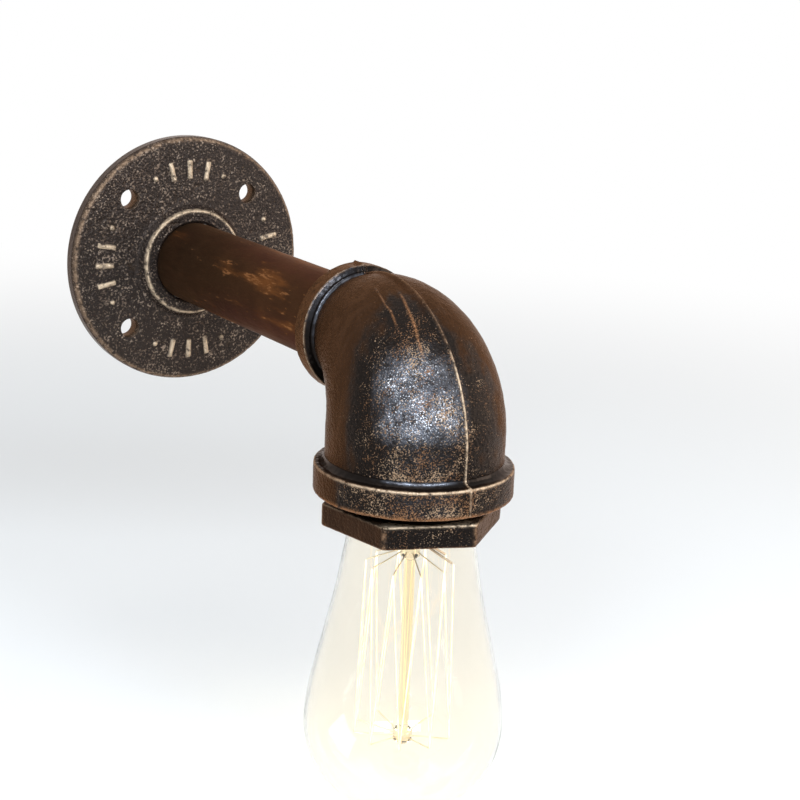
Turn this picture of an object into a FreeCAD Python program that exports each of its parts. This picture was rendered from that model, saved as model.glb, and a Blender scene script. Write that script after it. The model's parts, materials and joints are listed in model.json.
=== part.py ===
import FreeCAD, Part
import math
import os
import Sketcher

# Industrial pipe wall light: a cast floor flange on the wall, a level arm of pipe, a reducing
# elbow that turns down, a hex bushing with a lampholder inside it, and a clear cage-filament lamp.
#
# Frame: the origin is the centre of the flange's back face, on the wall. The arm leaves the wall
# along -Y, +Z is up, and the lamp hangs below the elbow. Heights below the arm's axis are "drops".

SIZES = {
    # arm: 3/4 in pipe, out from the wall to the outlet's axis
    "reach": 152.1,
    "pipe_diameter": 26.7,
    "pipe_bore": 20.9,
    "pipe_setback": 0.5,
    "pipe_insert": 13.7,
    "screwed_gap": 0.05,
    # floor flange
    "flange_diameter": 83.8,
    "flange_edge": 6.0,
    "flange_rise": 1.2,
    "flange_round": 2.0,
    "hub_height": 10.5,
    "hub_diameter": 35.6,
    "hub_draft": 1.6,
    "hub_round": 0.6,
    "recess_diameter": 52.0,
    "recess_depth": 4.0,
    "bolt_circle": 62.0,
    "bolt_hole": 6.5,
    "mark_circle": 62.0,
    "mark_length": 6.5,
    "mark_width": 1.8,
    "mark_height": 0.9,
    "mark_step": 12.0,
    "earth_hole_room": 0.2,
    # earth point in the flange's recess
    "earth_height": 15.8,
    "earth_screw_diameter": 3.0,
    "earth_screw_length": 6.0,
    "earth_head_diameter": 5.6,
    "earth_head_height": 1.9,
    "earth_ring_diameter": 6.0,
    "earth_ring_thickness": 0.8,
    "earth_barrel_diameter": 3.0,
    "earth_barrel_length": 6.0,
    "earth_barrel_start": 4.2,
    "earth_barrel_overlap": 0.6,
    "earth_thread_gap": 0.02,
    # reducing elbow
    "outlet_drop": 39.6,
    "outlet_band_diameter": 56.8,
    "outlet_band_height": 8.6,
    "outlet_body_diameter": 50.8,
    "inlet_set": 36.75,
    "inlet_band_diameter": 38.6,
    "inlet_band_length": 6.65,
    "inlet_body_diameter": 33.5,
    "crotch_radius": 4.0,
    "elbow_wall": 5.0,
    "band_round": 0.8,
    "outlet_cove": 2.0,
    "inlet_cove": 1.0,
    "bore_relief": 0.5,
    "seam_radius": 0.8,
    "seam_height": 0.5,
    "seam_depth": 2.0,
    # hex bushing
    "bushing_length": 24.4,
    "bushing_thread_diameter": 41.8,
    "bushing_thread_depth": 1.4,
    "bushing_thread_pitch": 2.2,
    "thread_showing": 2.9,
    "hex_across_flats": 45.4,
    "hex_height": 6.9,
    "hex_round": 0.8,
    "hex_turn": 40.0,
    "bushing_wall": 0.9,
    "shoulder_lip": 2.0,
    "shoulder_length": 3.0,
    # snap ring that holds the lampholder up in the bushing
    "ring_height": 4.5,
    "ring_thickness": 1.5,
    "ring_groove_depth": 0.8,
    "ring_lip": 1.9,
    "ring_gap_angle": 24.0,
    # lampholder
    "holder_gap": 0.1,
    "holder_wall": 2.6,
    "holder_top_diameter": 28.0,
    "holder_floor": 3.2,
    "contact_room": 1.3,
    "chamber_diameter": 19.6,
    "chamber_depth": 4.2,
    "mouth_lip": 2.4,
    "barrier_width": 1.6,
    "barrier_height": 6.0,
    "barrier_length": 12.6,
    "shell_sheet": 0.4,
    "shell_length": 19.3,
    "shell_lip_bore": 19.2,
    "contact_sheet": 0.5,
    "contact_width": 5.0,
    "centre_spring": 0.65,
    "side_contact_width": 4.0,
    "side_contact_room": 0.8,
    "terminal_spacing": 13.0,
    "terminal_width": 6.0,
    "terminal_depth": 9.0,
    "terminal_height": 7.0,
    "terminal_wire_hole": 3.2,
    "terminal_screw_diameter": 3.0,
    "terminal_head_diameter": 5.0,
    "terminal_head_height": 1.7,
    "rivet_diameter": 2.0,
    "rivet_head_diameter": 3.4,
    "rivet_head_height": 0.6,
    "rivet_anchor": 1.3,
    "rivet_land": 0.2,
    # wiring
    "wire_diameter": 2.2,
    "wire_spacing": 2.6,
    "wire_bend": 6.5,
    "wire_fan_start": 15.5,
    "wire_fan_end": 8.0,
    "wire_rear": 5.5,
    "ferrule_diameter": 1.9,
    "ferrule_length": 6.6,
    "tail_ferrule_length": 5.0,
    "sleeve_diameter": 8.0,
    "sleeve_wall": 0.8,
    "sleeve_front": 17.0,
    "sleeve_rear": 7.0,
    "grommet_lip": 1.4,
    "grommet_length": 7.0,
    "grommet_gap": 0.3,
    "earth_wire_diameter": 2.0,
    "earth_wire_bend": 5.0,
    "earth_wire_straight": 3.0,
    # E27 lamp cap
    "cap_inset": 8.9,
    "cap_length": 27.0,
    "cap_thread_radius": 12.65,
    "cap_thread_swing": 0.5,
    "cap_thread_pitch": 3.629,
    "cap_thread_gap": 0.2,
    "cap_thread_start": 5.5,
    "cap_skirt_length": 4.5,
    "cap_skirt_diameter": 26.2,
    "cap_bore": 23.5,
    "cap_contact_diameter": 9.6,
    "cap_contact_height": 0.8,
    "cap_contact_edge": 0.3,
    "cap_contact_slope": 1.0,
    "cap_plug_length": 1.5,
    "cap_ledge": 1.2,
    "cap_join": 0.2,
    "cement_length": 6.0,
    # lamp glass and what it holds
    "lamp_length": 125.0,
    "glass_wall": 0.8,
    "neck_diameter": 21.8,
    "neck_top": 14.5,
    "belly_diameter": 58.0,
    "stem_tube_diameter": 7.2,
    "stem_rod_diameter": 3.2,
    "stem_button_diameter": 5.6,
    "stem_button_length": 3.0,
    "stem_flare_length": 7.5,
    "stem_flare_sheet": 0.8,
    "stem_exhaust_length": 5.0,
    "stem_taper": 3.0,
    "stem_chamfer": 1.0,
    "pinch_rise": 12.0,
    "upper_button_rise": 2.0,
    "cage_top_drop": 61.0,
    "cage_height": 52.0,
    "cage_top_diameter": 25.0,
    "cage_foot_diameter": 29.0,
    "cage_hooks": 10,
    "filament_diameter": 0.3,
    "anchor_diameter": 0.35,
    "lead_diameter": 0.7,
}

LEVEL = FreeCAD.Rotation()
OUT_OF_WALL = FreeCAD.Rotation(FreeCAD.Vector(1, 0, 0), 90)
ALONG_ARM = FreeCAD.Rotation(FreeCAD.Vector(1, 0, 0), -90)

DOC = FreeCAD.newDocument("PipeWallLight")
SHEET = DOC.addObject("Spreadsheet::Sheet", "Sizes")
NODES = []


class Formula:
    """A size that is known as a number and as the text that binds it to the sheet."""

    def __init__(self, number, text):
        self.number = number
        self.text = text

    @staticmethod
    def of(item):
        if isinstance(item, Formula):
            return item
        return Formula(float(item), f"({float(item):.9f})")

    def join(self, sign, other, number):
        return Formula(number, f"({self.text} {sign} {other.text})")

    def __add__(self, other):
        other = Formula.of(other)
        return self.join("+", other, self.number + other.number)

    def __sub__(self, other):
        other = Formula.of(other)
        return self.join("-", other, self.number - other.number)

    def __mul__(self, other):
        other = Formula.of(other)
        return self.join("*", other, self.number * other.number)

    def __truediv__(self, other):
        other = Formula.of(other)
        return self.join("/", other, self.number / other.number)

    def __radd__(self, other):
        return Formula.of(other) + self

    def __rsub__(self, other):
        return Formula.of(other) - self

    def __rmul__(self, other):
        return Formula.of(other) * self

    def __neg__(self):
        return Formula.of(0) - self

    def __float__(self):
        return self.number


class Sizes:
    """Reads the sheet's cells by their aliases."""

    def __getattr__(self, alias):
        return Formula(float(SHEET.get(alias)), f"Sizes.{alias}")


S = Sizes()


def fill_sheet():
    for row, (alias, number) in enumerate(SIZES.items(), start=1):
        SHEET.set(f"A{row}", alias)
        SHEET.set(f"B{row}", str(number))
        SHEET.setAlias(f"B{row}", alias)
    DOC.recompute()


def bind(item, path, size):
    item.setExpression(path, Formula.of(size).text)


def put(item, place=(0, 0, 0), turn=LEVEL):
    """Places an object, with its position bound to the sheet."""
    point = FreeCAD.Vector(*[float(part) for part in place])
    item.Placement = FreeCAD.Placement(point, turn)
    for letter, part in zip("xyz", place):
        if isinstance(part, Formula):
            bind(item, f"Placement.Base.{letter}", part)


def keep(item, label):
    """Names a finished sub-part."""
    item.Label = label
    NODES.append(item)
    return item


def outlet():
    """Where the head's own frame stands: the outlet's axis, level with the arm."""
    return (0, -S.reach, 0)


# --- sketches and PartDesign features -------------------------------------------------------


def attach(body, name, plane_role, start=0):
    """New sketch on one of the body's own planes, set off along its normal."""
    sketch = body.newObject("Sketcher::SketchObject", name)
    plane = [item for item in body.Origin.OriginFeatures if item.Role == plane_role][0]
    sketch.AttachmentSupport = [(plane, "")]
    sketch.MapMode = "FlatFace"
    sketch.AttachmentOffset = FreeCAD.Placement(FreeCAD.Vector(0, 0, float(start)), LEVEL)
    if isinstance(start, Formula):
        bind(sketch, "AttachmentOffset.Base.z", start)
    return sketch


def dimension(sketch, kind, where, size):
    number = float(size)
    index = sketch.addConstraint(Sketcher.Constraint(kind, *where, number))
    if isinstance(size, Formula):
        bind(sketch, f"Constraints[{index}]", size)


def draw_outline(sketch, corners):
    """Closed outline of straight lines, each corner dimensioned from the origin."""
    first = sketch.GeometryCount
    points = [FreeCAD.Vector(float(across), float(up), 0) for across, up in corners]
    count = len(points)
    for index in range(count):
        sketch.addGeometry(Part.LineSegment(points[index], points[(index + 1) % count]), False)
    for index in range(count):
        following = first + (index + 1) % count
        sketch.addConstraint(Sketcher.Constraint("Coincident", first + index, 2, following, 1))
    for index, (across, up) in enumerate(corners):
        dimension(sketch, "DistanceX", (-1, 1, first + index, 1), across)
        dimension(sketch, "DistanceY", (-1, 1, first + index, 1), up)


def draw_circle(sketch, across, up, radius):
    centre = FreeCAD.Vector(float(across), float(up), 0)
    circle = Part.Circle(centre, FreeCAD.Vector(0, 0, 1), float(radius))
    index = sketch.addGeometry(circle, False)
    dimension(sketch, "DistanceX", (-1, 1, index, 3), across)
    dimension(sketch, "DistanceY", (-1, 1, index, 3), up)
    dimension(sketch, "Radius", (index,), radius)


def turned(label, corners):
    """Body turned about its own Z axis from an outline of (radius, height) corners."""
    body = DOC.addObject("PartDesign::Body", label + "_body")
    sketch = attach(body, label + "_outline", "XZ_Plane")
    draw_outline(sketch, corners)
    feature = body.newObject("PartDesign::Revolution", label + "_turned")
    feature.Profile = sketch
    feature.ReferenceAxis = (sketch, ["V_Axis"])
    feature.Angle = 360
    DOC.recompute()
    return body


def raised(body, name, sketch, height):
    feature = body.newObject("PartDesign::Pad", name)
    feature.Profile = sketch
    bind(feature, "Length", height)
    DOC.recompute()
    return feature


def cut_in(body, name, sketch, depth=None):
    """Pocket up from the sketch by depth, or both ways through everything."""
    volume = body.Shape.Volume
    feature = body.newObject("PartDesign::Pocket", name)
    feature.Profile = sketch
    if depth is None:
        feature.Type = "ThroughAll"
        feature.Midplane = True
    else:
        feature.Reversed = True
        bind(feature, "Length", depth)
    DOC.recompute()
    if body.Shape.Volume > volume - 1e-3:
        raise RuntimeError(f"{name} cuts nothing")
    return feature


def around(body, name, feature, count):
    """Polar pattern of a feature about the body's Z axis."""
    axis = [item for item in body.Origin.OriginFeatures if item.Role == "Z_Axis"][0]
    pattern = body.newObject("PartDesign::PolarPattern", name)
    pattern.Originals = [feature]
    pattern.Axis = (axis, [""])
    pattern.Angle = 360
    pattern.Occurrences = count
    body.Tip = pattern
    DOC.recompute()
    return pattern


def rounded(body, name, radius, rings):
    """Fillet on the circular edges given as (radius, height) pairs."""
    base = body.Tip
    edges = []
    for index, edge in enumerate(base.Shape.Edges, start=1):
        if not isinstance(edge.Curve, Part.Circle):
            continue
        for ring_radius, ring_height in rings:
            off_radius = abs(edge.Curve.Radius - float(ring_radius))
            off_height = abs(edge.Curve.Center.z - float(ring_height))
            on_axis = math.hypot(edge.Curve.Center.x, edge.Curve.Center.y) < 1e-4
            if on_axis and off_radius < 1e-4 and off_height < 1e-4:
                edges.append(f"Edge{index}")
    feature = body.newObject("PartDesign::Fillet", name)
    feature.Base = (base, edges)
    bind(feature, "Radius", radius)
    DOC.recompute()
    return feature


# --- Part primitives and booleans -----------------------------------------------------------


def rod(name, radius, length, place=(0, 0, 0), turn=LEVEL):
    item = DOC.addObject("Part::Cylinder", name)
    put(item, place, turn)
    bind(item, "Radius", radius)
    bind(item, "Height", length)
    return item


def block(name, size, place):
    """Box with its low corner at place."""
    item = DOC.addObject("Part::Box", name)
    put(item, place)
    for side, length in zip(("Length", "Width", "Height"), size):
        bind(item, side, length)
    return item


def fused(name, items):
    item = DOC.addObject("Part::MultiFuse", name)
    item.Shapes = items
    return item


def cut(name, base, tool):
    item = DOC.addObject("Part::Cut", name)
    item.Base = base
    item.Tool = tool
    return item


def filleted(name, base, radius):
    """Every edge of a plain solid rounded, apart from a cylinder's closing line."""
    DOC.recompute()
    seams = [edge for edge in base.Shape.Edges if edge.isSeam(base.Shape.Faces[0])]
    item = DOC.addObject("Part::Fillet", name)
    item.Base = base
    size = float(radius)
    item.Edges = [
        (index, size, size)
        for index, edge in enumerate(base.Shape.Edges, start=1)
        if not any(edge.isSame(seam) for seam in seams)
    ]
    return item


def shaped(name, shape):
    """Object that holds a shape worked out by the functions below."""
    item = DOC.addObject("Part::Feature", name)
    item.Shape = shape
    return item


def tube(corners, radius, bend):
    """Round bar along straight runs joined by tangent arcs."""
    edges = []
    start = corners[0]
    for before, corner, after in zip(corners, corners[1:], corners[2:]):
        back = (before - corner).normalize()
        ahead = (after - corner).normalize()
        half = back.getAngle(ahead) / 2
        run = bend / math.tan(half)
        first = corner + back * run
        last = corner + ahead * run
        middle = corner + (back + ahead).normalize() * (bend / math.sin(half) - bend)
        edges.append(Part.LineSegment(start, first).toShape())
        edges.append(Part.Arc(first, middle, last).toShape())
        start = last
    edges.append(Part.LineSegment(start, corners[-1]).toShape())
    path = Part.Wire(edges)
    section = Part.Wire(Part.makeCircle(radius, corners[0], corners[1] - corners[0]))
    bar = path.makePipeShell([section], True, True)
    print(f"tube: length {path.Length:.1f}, bend {bend:.1f}, volume ratio "
          f"{bar.Volume / (math.pi * radius ** 2 * path.Length):.4f}")
    return bar


def screw_form(mean_radius, swing, pitch, bottom, top):
    """Round-crested screw: a level disc whose centre climbs a helix about the Z axis.

    The disc's turn depends only on its height, so screws of one pitch and swing stay in mesh.
    """
    turn = 360 * bottom / pitch
    helix = Part.makeHelix(pitch, top - bottom, swing)
    disc = Part.Wire(Part.makeCircle(mean_radius, FreeCAD.Vector(swing, 0, 0)))
    sweep = Part.BRepOffsetAPI.MakePipeShell(Part.Wire(helix.Edges))
    sweep.setTrihedronMode(FreeCAD.Vector(0, 0, 0), FreeCAD.Vector(0, 0, 1))
    sweep.add(disc, False, False)
    sweep.build()
    sweep.makeSolid()
    form = sweep.shape()
    form.rotate(FreeCAD.Vector(0, 0, 0), FreeCAD.Vector(0, 0, 1), turn)
    form.translate(FreeCAD.Vector(0, 0, bottom))
    return form


def ball_jointed(points, radius):
    """Thin wire with sharp corners: straight cylinders with a ball at each inner corner."""
    pieces = []
    for start, end in zip(points, points[1:]):
        run = end - start
        pieces.append(Part.makeCylinder(radius, run.Length, start, run))
    pieces += [Part.makeSphere(radius, point) for point in points[1:-1]]
    return pieces[0].multiFuse(pieces[1:])


def polar(radius, degrees, height):
    angle = math.radians(degrees)
    return FreeCAD.Vector(radius * math.cos(angle), radius * math.sin(angle), height)


# --- wall side ------------------------------------------------------------------------------


def floor_flange():
    """Cast disc with a low hub, a wiring recess behind it, four bolt holes and raised marks."""
    bore = S.pipe_diameter / 2 + S.screwed_gap
    radius = S.flange_diameter / 2
    hub = S.hub_diameter / 2
    foot = hub + S.hub_draft
    recess = S.recess_diameter / 2
    foot_height = S.flange_edge + S.flange_rise
    body = turned("floor_flange", [
        (bore, S.recess_depth), (recess, S.recess_depth), (recess, 0), (radius, 0),
        (radius, S.flange_edge), (foot, foot_height), (hub, S.hub_height), (bore, S.hub_height),
    ])
    rounded(body, "rim_round", S.flange_round, [(radius, S.flange_edge)])
    rounded(body, "hub_round", S.hub_round, [(hub, S.hub_height)])

    marks = attach(body, "marks", "XY_Plane", S.recess_depth)
    middle = S.mark_circle / 2
    step = float(S.mark_step)
    for degrees in (90 - step, 90, 90 + step):
        out = (math.cos(math.radians(degrees)), math.sin(math.radians(degrees)))
        side = (-out[1], out[0])
        corners = []
        for along, aside in ((-0.5, -0.5), (0.5, -0.5), (0.5, 0.5), (-0.5, 0.5)):
            distance = middle + S.mark_length * along
            offset = S.mark_width * aside
            corners.append((distance * out[0] + offset * side[0],
                            distance * out[1] + offset * side[1]))
        draw_outline(marks, corners)
    for degrees in (90 - 2 * step, 90 + 2 * step):
        draw_circle(marks, middle * math.cos(math.radians(degrees)),
                    middle * math.sin(math.radians(degrees)), S.mark_width / 2)
    share = (radius - middle) / (radius - foot)
    mark_top = S.flange_edge + S.flange_rise * share + S.mark_height
    mark = raised(body, "mark", marks, mark_top - S.recess_depth)
    around(body, "marks_around", mark, 4)

    bolts = attach(body, "bolt", "XY_Plane")
    diagonal = S.bolt_circle / 2 * math.cos(math.radians(45))
    draw_circle(bolts, diagonal, diagonal, S.bolt_hole / 2)
    hole = cut_in(body, "bolt_hole", bolts)
    around(body, "bolt_holes", hole, 4)

    earth = attach(body, "earth", "XY_Plane", S.recess_depth)
    draw_circle(earth, 0, S.earth_height, S.earth_screw_diameter / 2)
    thickness = S.earth_ring_thickness
    cut_in(body, "earth_hole", earth, S.earth_screw_length - thickness + S.earth_hole_room)
    put(body, turn=OUT_OF_WALL)
    keep(body, "floor_flange")


def pipe_front():
    """How far the pipe's front end stands from the wall."""
    return S.reach - S.inlet_set + S.pipe_insert


def arm_pipe():
    outer = S.pipe_diameter / 2
    inner = S.pipe_bore / 2
    rear = S.recess_depth + S.pipe_setback
    body = turned("arm_pipe", [(inner, rear), (outer, rear), (outer, pipe_front()),
                               (inner, pipe_front())])
    put(body, turn=OUT_OF_WALL)
    keep(body, "arm_pipe")


def pipe_grommet():
    """Bush in the pipe's rear mouth, which keeps the wiring off the cut edge."""
    bore = S.sleeve_diameter / 2 + S.grommet_gap
    plug = S.pipe_bore / 2 - S.screwed_gap
    lip = plug + S.grommet_lip
    seat = S.recess_depth + S.pipe_setback
    rear = seat - S.grommet_lip
    body = turned("pipe_grommet", [(bore, rear), (lip, rear), (lip, seat), (plug, seat),
                                   (plug, seat + S.grommet_length), (bore, seat + S.grommet_length)])
    rounded(body, "grommet_round", S.grommet_lip / 3, [(lip, rear)])
    put(body, turn=OUT_OF_WALL)
    keep(body, "pipe_grommet")


def earth_screw():
    """Screw that clamps the earth ring to the floor of the flange's recess."""
    head_top = S.recess_depth - S.earth_ring_thickness
    head = S.earth_head_diameter / 2
    shank = S.earth_screw_diameter / 2 - S.earth_thread_gap
    body = turned("earth_screw", [
        (0, head_top - S.earth_head_height), (head, head_top - S.earth_head_height),
        (head, head_top), (shank, head_top), (shank, head_top + S.earth_screw_length),
        (0, head_top + S.earth_screw_length),
    ])
    rounded(body, "earth_head_round", S.earth_head_height / 3,
            [(head, head_top - S.earth_head_height)])
    slot = attach(body, "earth_slot", "XY_Plane", head_top - S.earth_head_height)
    half = S.earth_ring_thickness / 2
    draw_outline(slot, [(-head, -half), (head, -half), (head, half), (-head, half)])
    cut_in(body, "earth_slot_cut", slot, S.earth_head_height / 2)
    put(body, (0, 0, S.earth_height), OUT_OF_WALL)
    keep(body, "earth_screw")


def earth_barrel_depth():
    """How far from the wall the earth barrel's axis lies."""
    return S.recess_depth - S.earth_barrel_diameter / 2 - S.screwed_gap


def earth_ring_terminal():
    """Ring tongue under the earth screw, with a crimp barrel to one side."""
    floor = -S.recess_depth
    radius = S.earth_ring_diameter / 2
    thickness = S.earth_ring_thickness
    barrel = S.earth_barrel_diameter / 2
    across = FreeCAD.Rotation(FreeCAD.Vector(0, 1, 0), 90)
    ring = rod("earth_ring", radius, thickness, (0, floor + thickness, S.earth_height), OUT_OF_WALL)
    tongue = block("earth_tongue", (radius * 2, thickness, barrel * 2),
                   (0, floor, S.earth_height - barrel))
    barrel_place = (S.earth_barrel_start, -earth_barrel_depth(), S.earth_height)
    bore_start = S.earth_barrel_start + S.earth_barrel_overlap
    sleeve = rod("earth_barrel", barrel, S.earth_barrel_length, barrel_place, across)
    outside = fused("earth_outside", [ring, tongue, sleeve])
    hole = rod("earth_ring_hole", S.earth_screw_diameter / 2 + S.screwed_gap, S.recess_depth,
               (0, 0, S.earth_height), OUT_OF_WALL)
    bore = rod("earth_barrel_bore", S.earth_wire_diameter / 2 + S.screwed_gap,
               S.earth_barrel_length, (bore_start, -earth_barrel_depth(), S.earth_height), across)
    keep(cut("earth_terminal_cut", outside, fused("earth_holes", [hole, bore])),
         "earth_ring_terminal")


def earth_wire():
    """Short earth tail that lies in the flange's recess, with its bare end in a ferrule."""
    depth = -float(earth_barrel_depth())
    height = float(S.earth_height)
    start = float(S.earth_barrel_start + S.earth_barrel_overlap)
    turn_off = float(S.earth_barrel_start + S.earth_barrel_length + S.earth_wire_straight)
    lane = float(S.recess_diameter) / 2 - 3 * float(S.earth_wire_diameter)
    corners = [
        FreeCAD.Vector(start, depth, height),
        FreeCAD.Vector(turn_off, depth, height),
        FreeCAD.Vector(lane, depth, height / 2),
        FreeCAD.Vector(lane, depth, -height / 3),
    ]
    radius = float(S.earth_wire_diameter) / 2
    keep(shaped("earth_wire", tube(corners, radius, float(S.earth_wire_bend))), "earth_wire")
    length = float(S.tail_ferrule_length)
    tip = Part.makeCylinder(float(S.ferrule_diameter) / 2, length, corners[-1],
                            FreeCAD.Vector(0, 0, -1))
    keep(shaped("earth_ferrule", tip), "earth_ferrule")


# --- elbow and bushing ----------------------------------------------------------------------


BEND_STATIONS = (0, 15, 30, 45, 60, 75, 90)
SWELL = 1.3
SIDE_SWELL = 2.1
COVE_SPREAD = 1.08


def half_rings(sections):
    """Closed solid through oval sections, lofted as two half skins with a flat face at each end.

    A section is (centre's y, centre's z, radius, half width, tilt of its plane about X in degrees).
    """
    faces = []
    rims = ([], [])
    for first_angle in (-90, 90):
        arcs = []
        for y_place, z_place, radius, half_width, tilt in sections:
            oval = Part.Ellipse(FreeCAD.Vector(half_width, 0, 0), FreeCAD.Vector(0, radius, 0),
                                FreeCAD.Vector(0, 0, 0))
            start = math.radians(first_angle)
            arc = Part.Wire(Part.ArcOfEllipse(oval, start, start + math.pi).toShape())
            arc.rotate(FreeCAD.Vector(0, 0, 0), FreeCAD.Vector(1, 0, 0), -tilt)
            arc.translate(FreeCAD.Vector(0, y_place, z_place))
            arcs.append(arc)
        faces += Part.makeLoft(arcs, False, False, False).Faces
        rims[0].extend(arcs[0].Edges)
        rims[1].extend(arcs[-1].Edges)
    faces += [Part.Face(Part.Wire(rim)) for rim in rims]
    skin = Part.makeShell(faces)
    skin.sewShape()
    return Part.makeSolid(skin)


def bend_sections(shrink=0.0):
    """Sections round the bend, in planes that all pass through the crotch's axis.

    The body's radius goes from the outlet's to the inlet's with the angle's share to the power
    SWELL, and its half width does so with the power SIDE_SWELL.
    """
    outlet_radius = float(S.outlet_body_diameter) / 2
    inlet_radius = float(S.inlet_body_diameter) / 2
    crotch = float(S.crotch_radius)
    crotch_y = outlet_radius + crotch
    crotch_z = -inlet_radius - crotch
    narrowing = inlet_radius - outlet_radius
    first = outlet_radius - shrink
    last = inlet_radius - shrink
    sections = [
        (0.0, float(S.outlet_band_height / 2 - S.outlet_drop), first, first, 0),
        (0.0, float(S.outlet_band_height + S.outlet_cove - S.outlet_drop), first, first, 0),
    ]
    for degrees in BEND_STATIONS:
        radius = outlet_radius + narrowing * (degrees / 90) ** SWELL
        half_width = outlet_radius + narrowing * (degrees / 90) ** SIDE_SWELL
        angle = math.radians(degrees)
        sections.append((crotch_y - (crotch + radius) * math.cos(angle),
                         crotch_z + (crotch + radius) * math.sin(angle),
                         radius - shrink, half_width - shrink, degrees))
    sections.append((float(S.inlet_set - S.inlet_band_length / 2), 0.0, last, last, 90))
    return sections


def bend_seam():
    """Parting ridge over the bend's back: a plate in the middle plane that stands just proud."""
    half = float(S.seam_radius)
    curves = []
    for stand_off in (float(S.seam_height), -float(S.seam_depth)):
        points = []
        for y_place, z_place, radius, half_width, tilt in bend_sections():
            angle = math.radians(tilt)
            out = radius + stand_off
            points.append(FreeCAD.Vector(-half, y_place - out * math.cos(angle),
                                         z_place + out * math.sin(angle)))
        curve = Part.BSplineCurve()
        curve.interpolate(points)
        curves.append((curve.toShape(), points))
    (crest, crest_points), (root, root_points) = curves
    ends = [Part.LineSegment(crest_points[index], root_points[index]).toShape()
            for index in (0, -1)]
    face = Part.Face(Part.Wire(Part.__sortEdges__([crest, root] + ends)))
    return face.extrude(FreeCAD.Vector(half * 2, 0, 0))


def cove(name, body_radius, size, base, turn, back):
    """Ring with a hollow face that fills the corner between a body and its band.

    The ring stands on base, and back is +1 where it rises along the turned Z axis. The hollow is
    COVE_SPREAD larger than the ring, so that it meets both faces at a small angle.
    """
    outer = body_radius + size
    along_y = turn is ALONG_ARM
    start = base if back > 0 else base - size
    rim = base + size if back > 0 else base - size
    ring_place = (0, start, 0) if along_y else (0, 0, start)
    rim_place = (0, rim, 0) if along_y else (0, 0, rim)
    ring = rod(name + "_ring", outer, size, ring_place, turn)
    hollow = DOC.addObject("Part::Torus", name + "_hollow")
    put(hollow, rim_place, turn)
    bind(hollow, "Radius1", outer)
    bind(hollow, "Radius2", size * COVE_SPREAD)
    return cut(name, ring, hollow)


def reducing_elbow():
    """Hollow cast elbow with a band at each mouth and a parting seam over its back."""
    outlet_face = -S.outlet_drop
    band_top = outlet_face + S.outlet_band_height
    band_start = S.inlet_set - S.inlet_band_length
    outlet_band = filleted("outlet_band", rod("outlet_band_blank", S.outlet_band_diameter / 2,
                           S.outlet_band_height, (0, 0, outlet_face)), S.band_round)
    inlet_band = filleted("inlet_band", rod("inlet_band_blank", S.inlet_band_diameter / 2,
                          S.inlet_band_length, (0, band_start, 0), ALONG_ARM), S.band_round)
    lift = S.seam_height - S.seam_radius
    outlet_seam = rod("outlet_seam", S.seam_radius, S.outlet_band_height - S.band_round * 2,
                      (0, -S.outlet_band_diameter / 2 - lift, outlet_face + S.band_round))
    inlet_seam = rod("inlet_seam", S.seam_radius, S.inlet_band_length - S.band_round * 2,
                     (0, band_start + S.band_round, S.inlet_band_diameter / 2 + lift), ALONG_ARM)
    outside = fused("elbow_outside", [
        shaped("bend", half_rings(bend_sections())), outlet_band, inlet_band,
        cove("outlet_cove", S.outlet_body_diameter / 2, S.outlet_cove, band_top, LEVEL, 1),
        cove("inlet_cove", S.inlet_body_diameter / 2, S.inlet_cove, band_start, ALONG_ARM, -1),
        shaped("bend_seam", bend_seam()),
        outlet_seam, inlet_seam,
    ])
    hollow = half_rings(bend_sections(shrink=float(S.elbow_wall)))
    outlet_bore = rod("outlet_bore", S.bushing_thread_diameter / 2 + S.screwed_gap,
                      S.bushing_length - S.hex_height - S.thread_showing + S.bore_relief,
                      (0, 0, outlet_face))
    inlet_bore = rod("inlet_bore", S.pipe_diameter / 2 + S.screwed_gap,
                     S.pipe_insert + S.bore_relief,
                     (0, S.inlet_set - S.pipe_insert - S.bore_relief, 0), ALONG_ARM)
    inside = fused("elbow_inside", [shaped("bend_hollow", hollow), outlet_bore, inlet_bore])
    elbow = cut("elbow_cut", outside, inside)
    put(elbow, outlet())
    keep(elbow, "reducing_elbow")


def hex_bottom():
    """Height of the bushing's lowest face."""
    return -S.outlet_drop - S.thread_showing - S.hex_height


def bushing_bore():
    """Radius of the bushing's bore, a wall inside the root of its thread."""
    return S.bushing_thread_diameter / 2 - S.bushing_thread_depth - S.bushing_wall


def shoulder_bore():
    """Radius of the opening in the shoulder above the lampholder's flange."""
    return bushing_bore() - S.shoulder_lip


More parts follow.
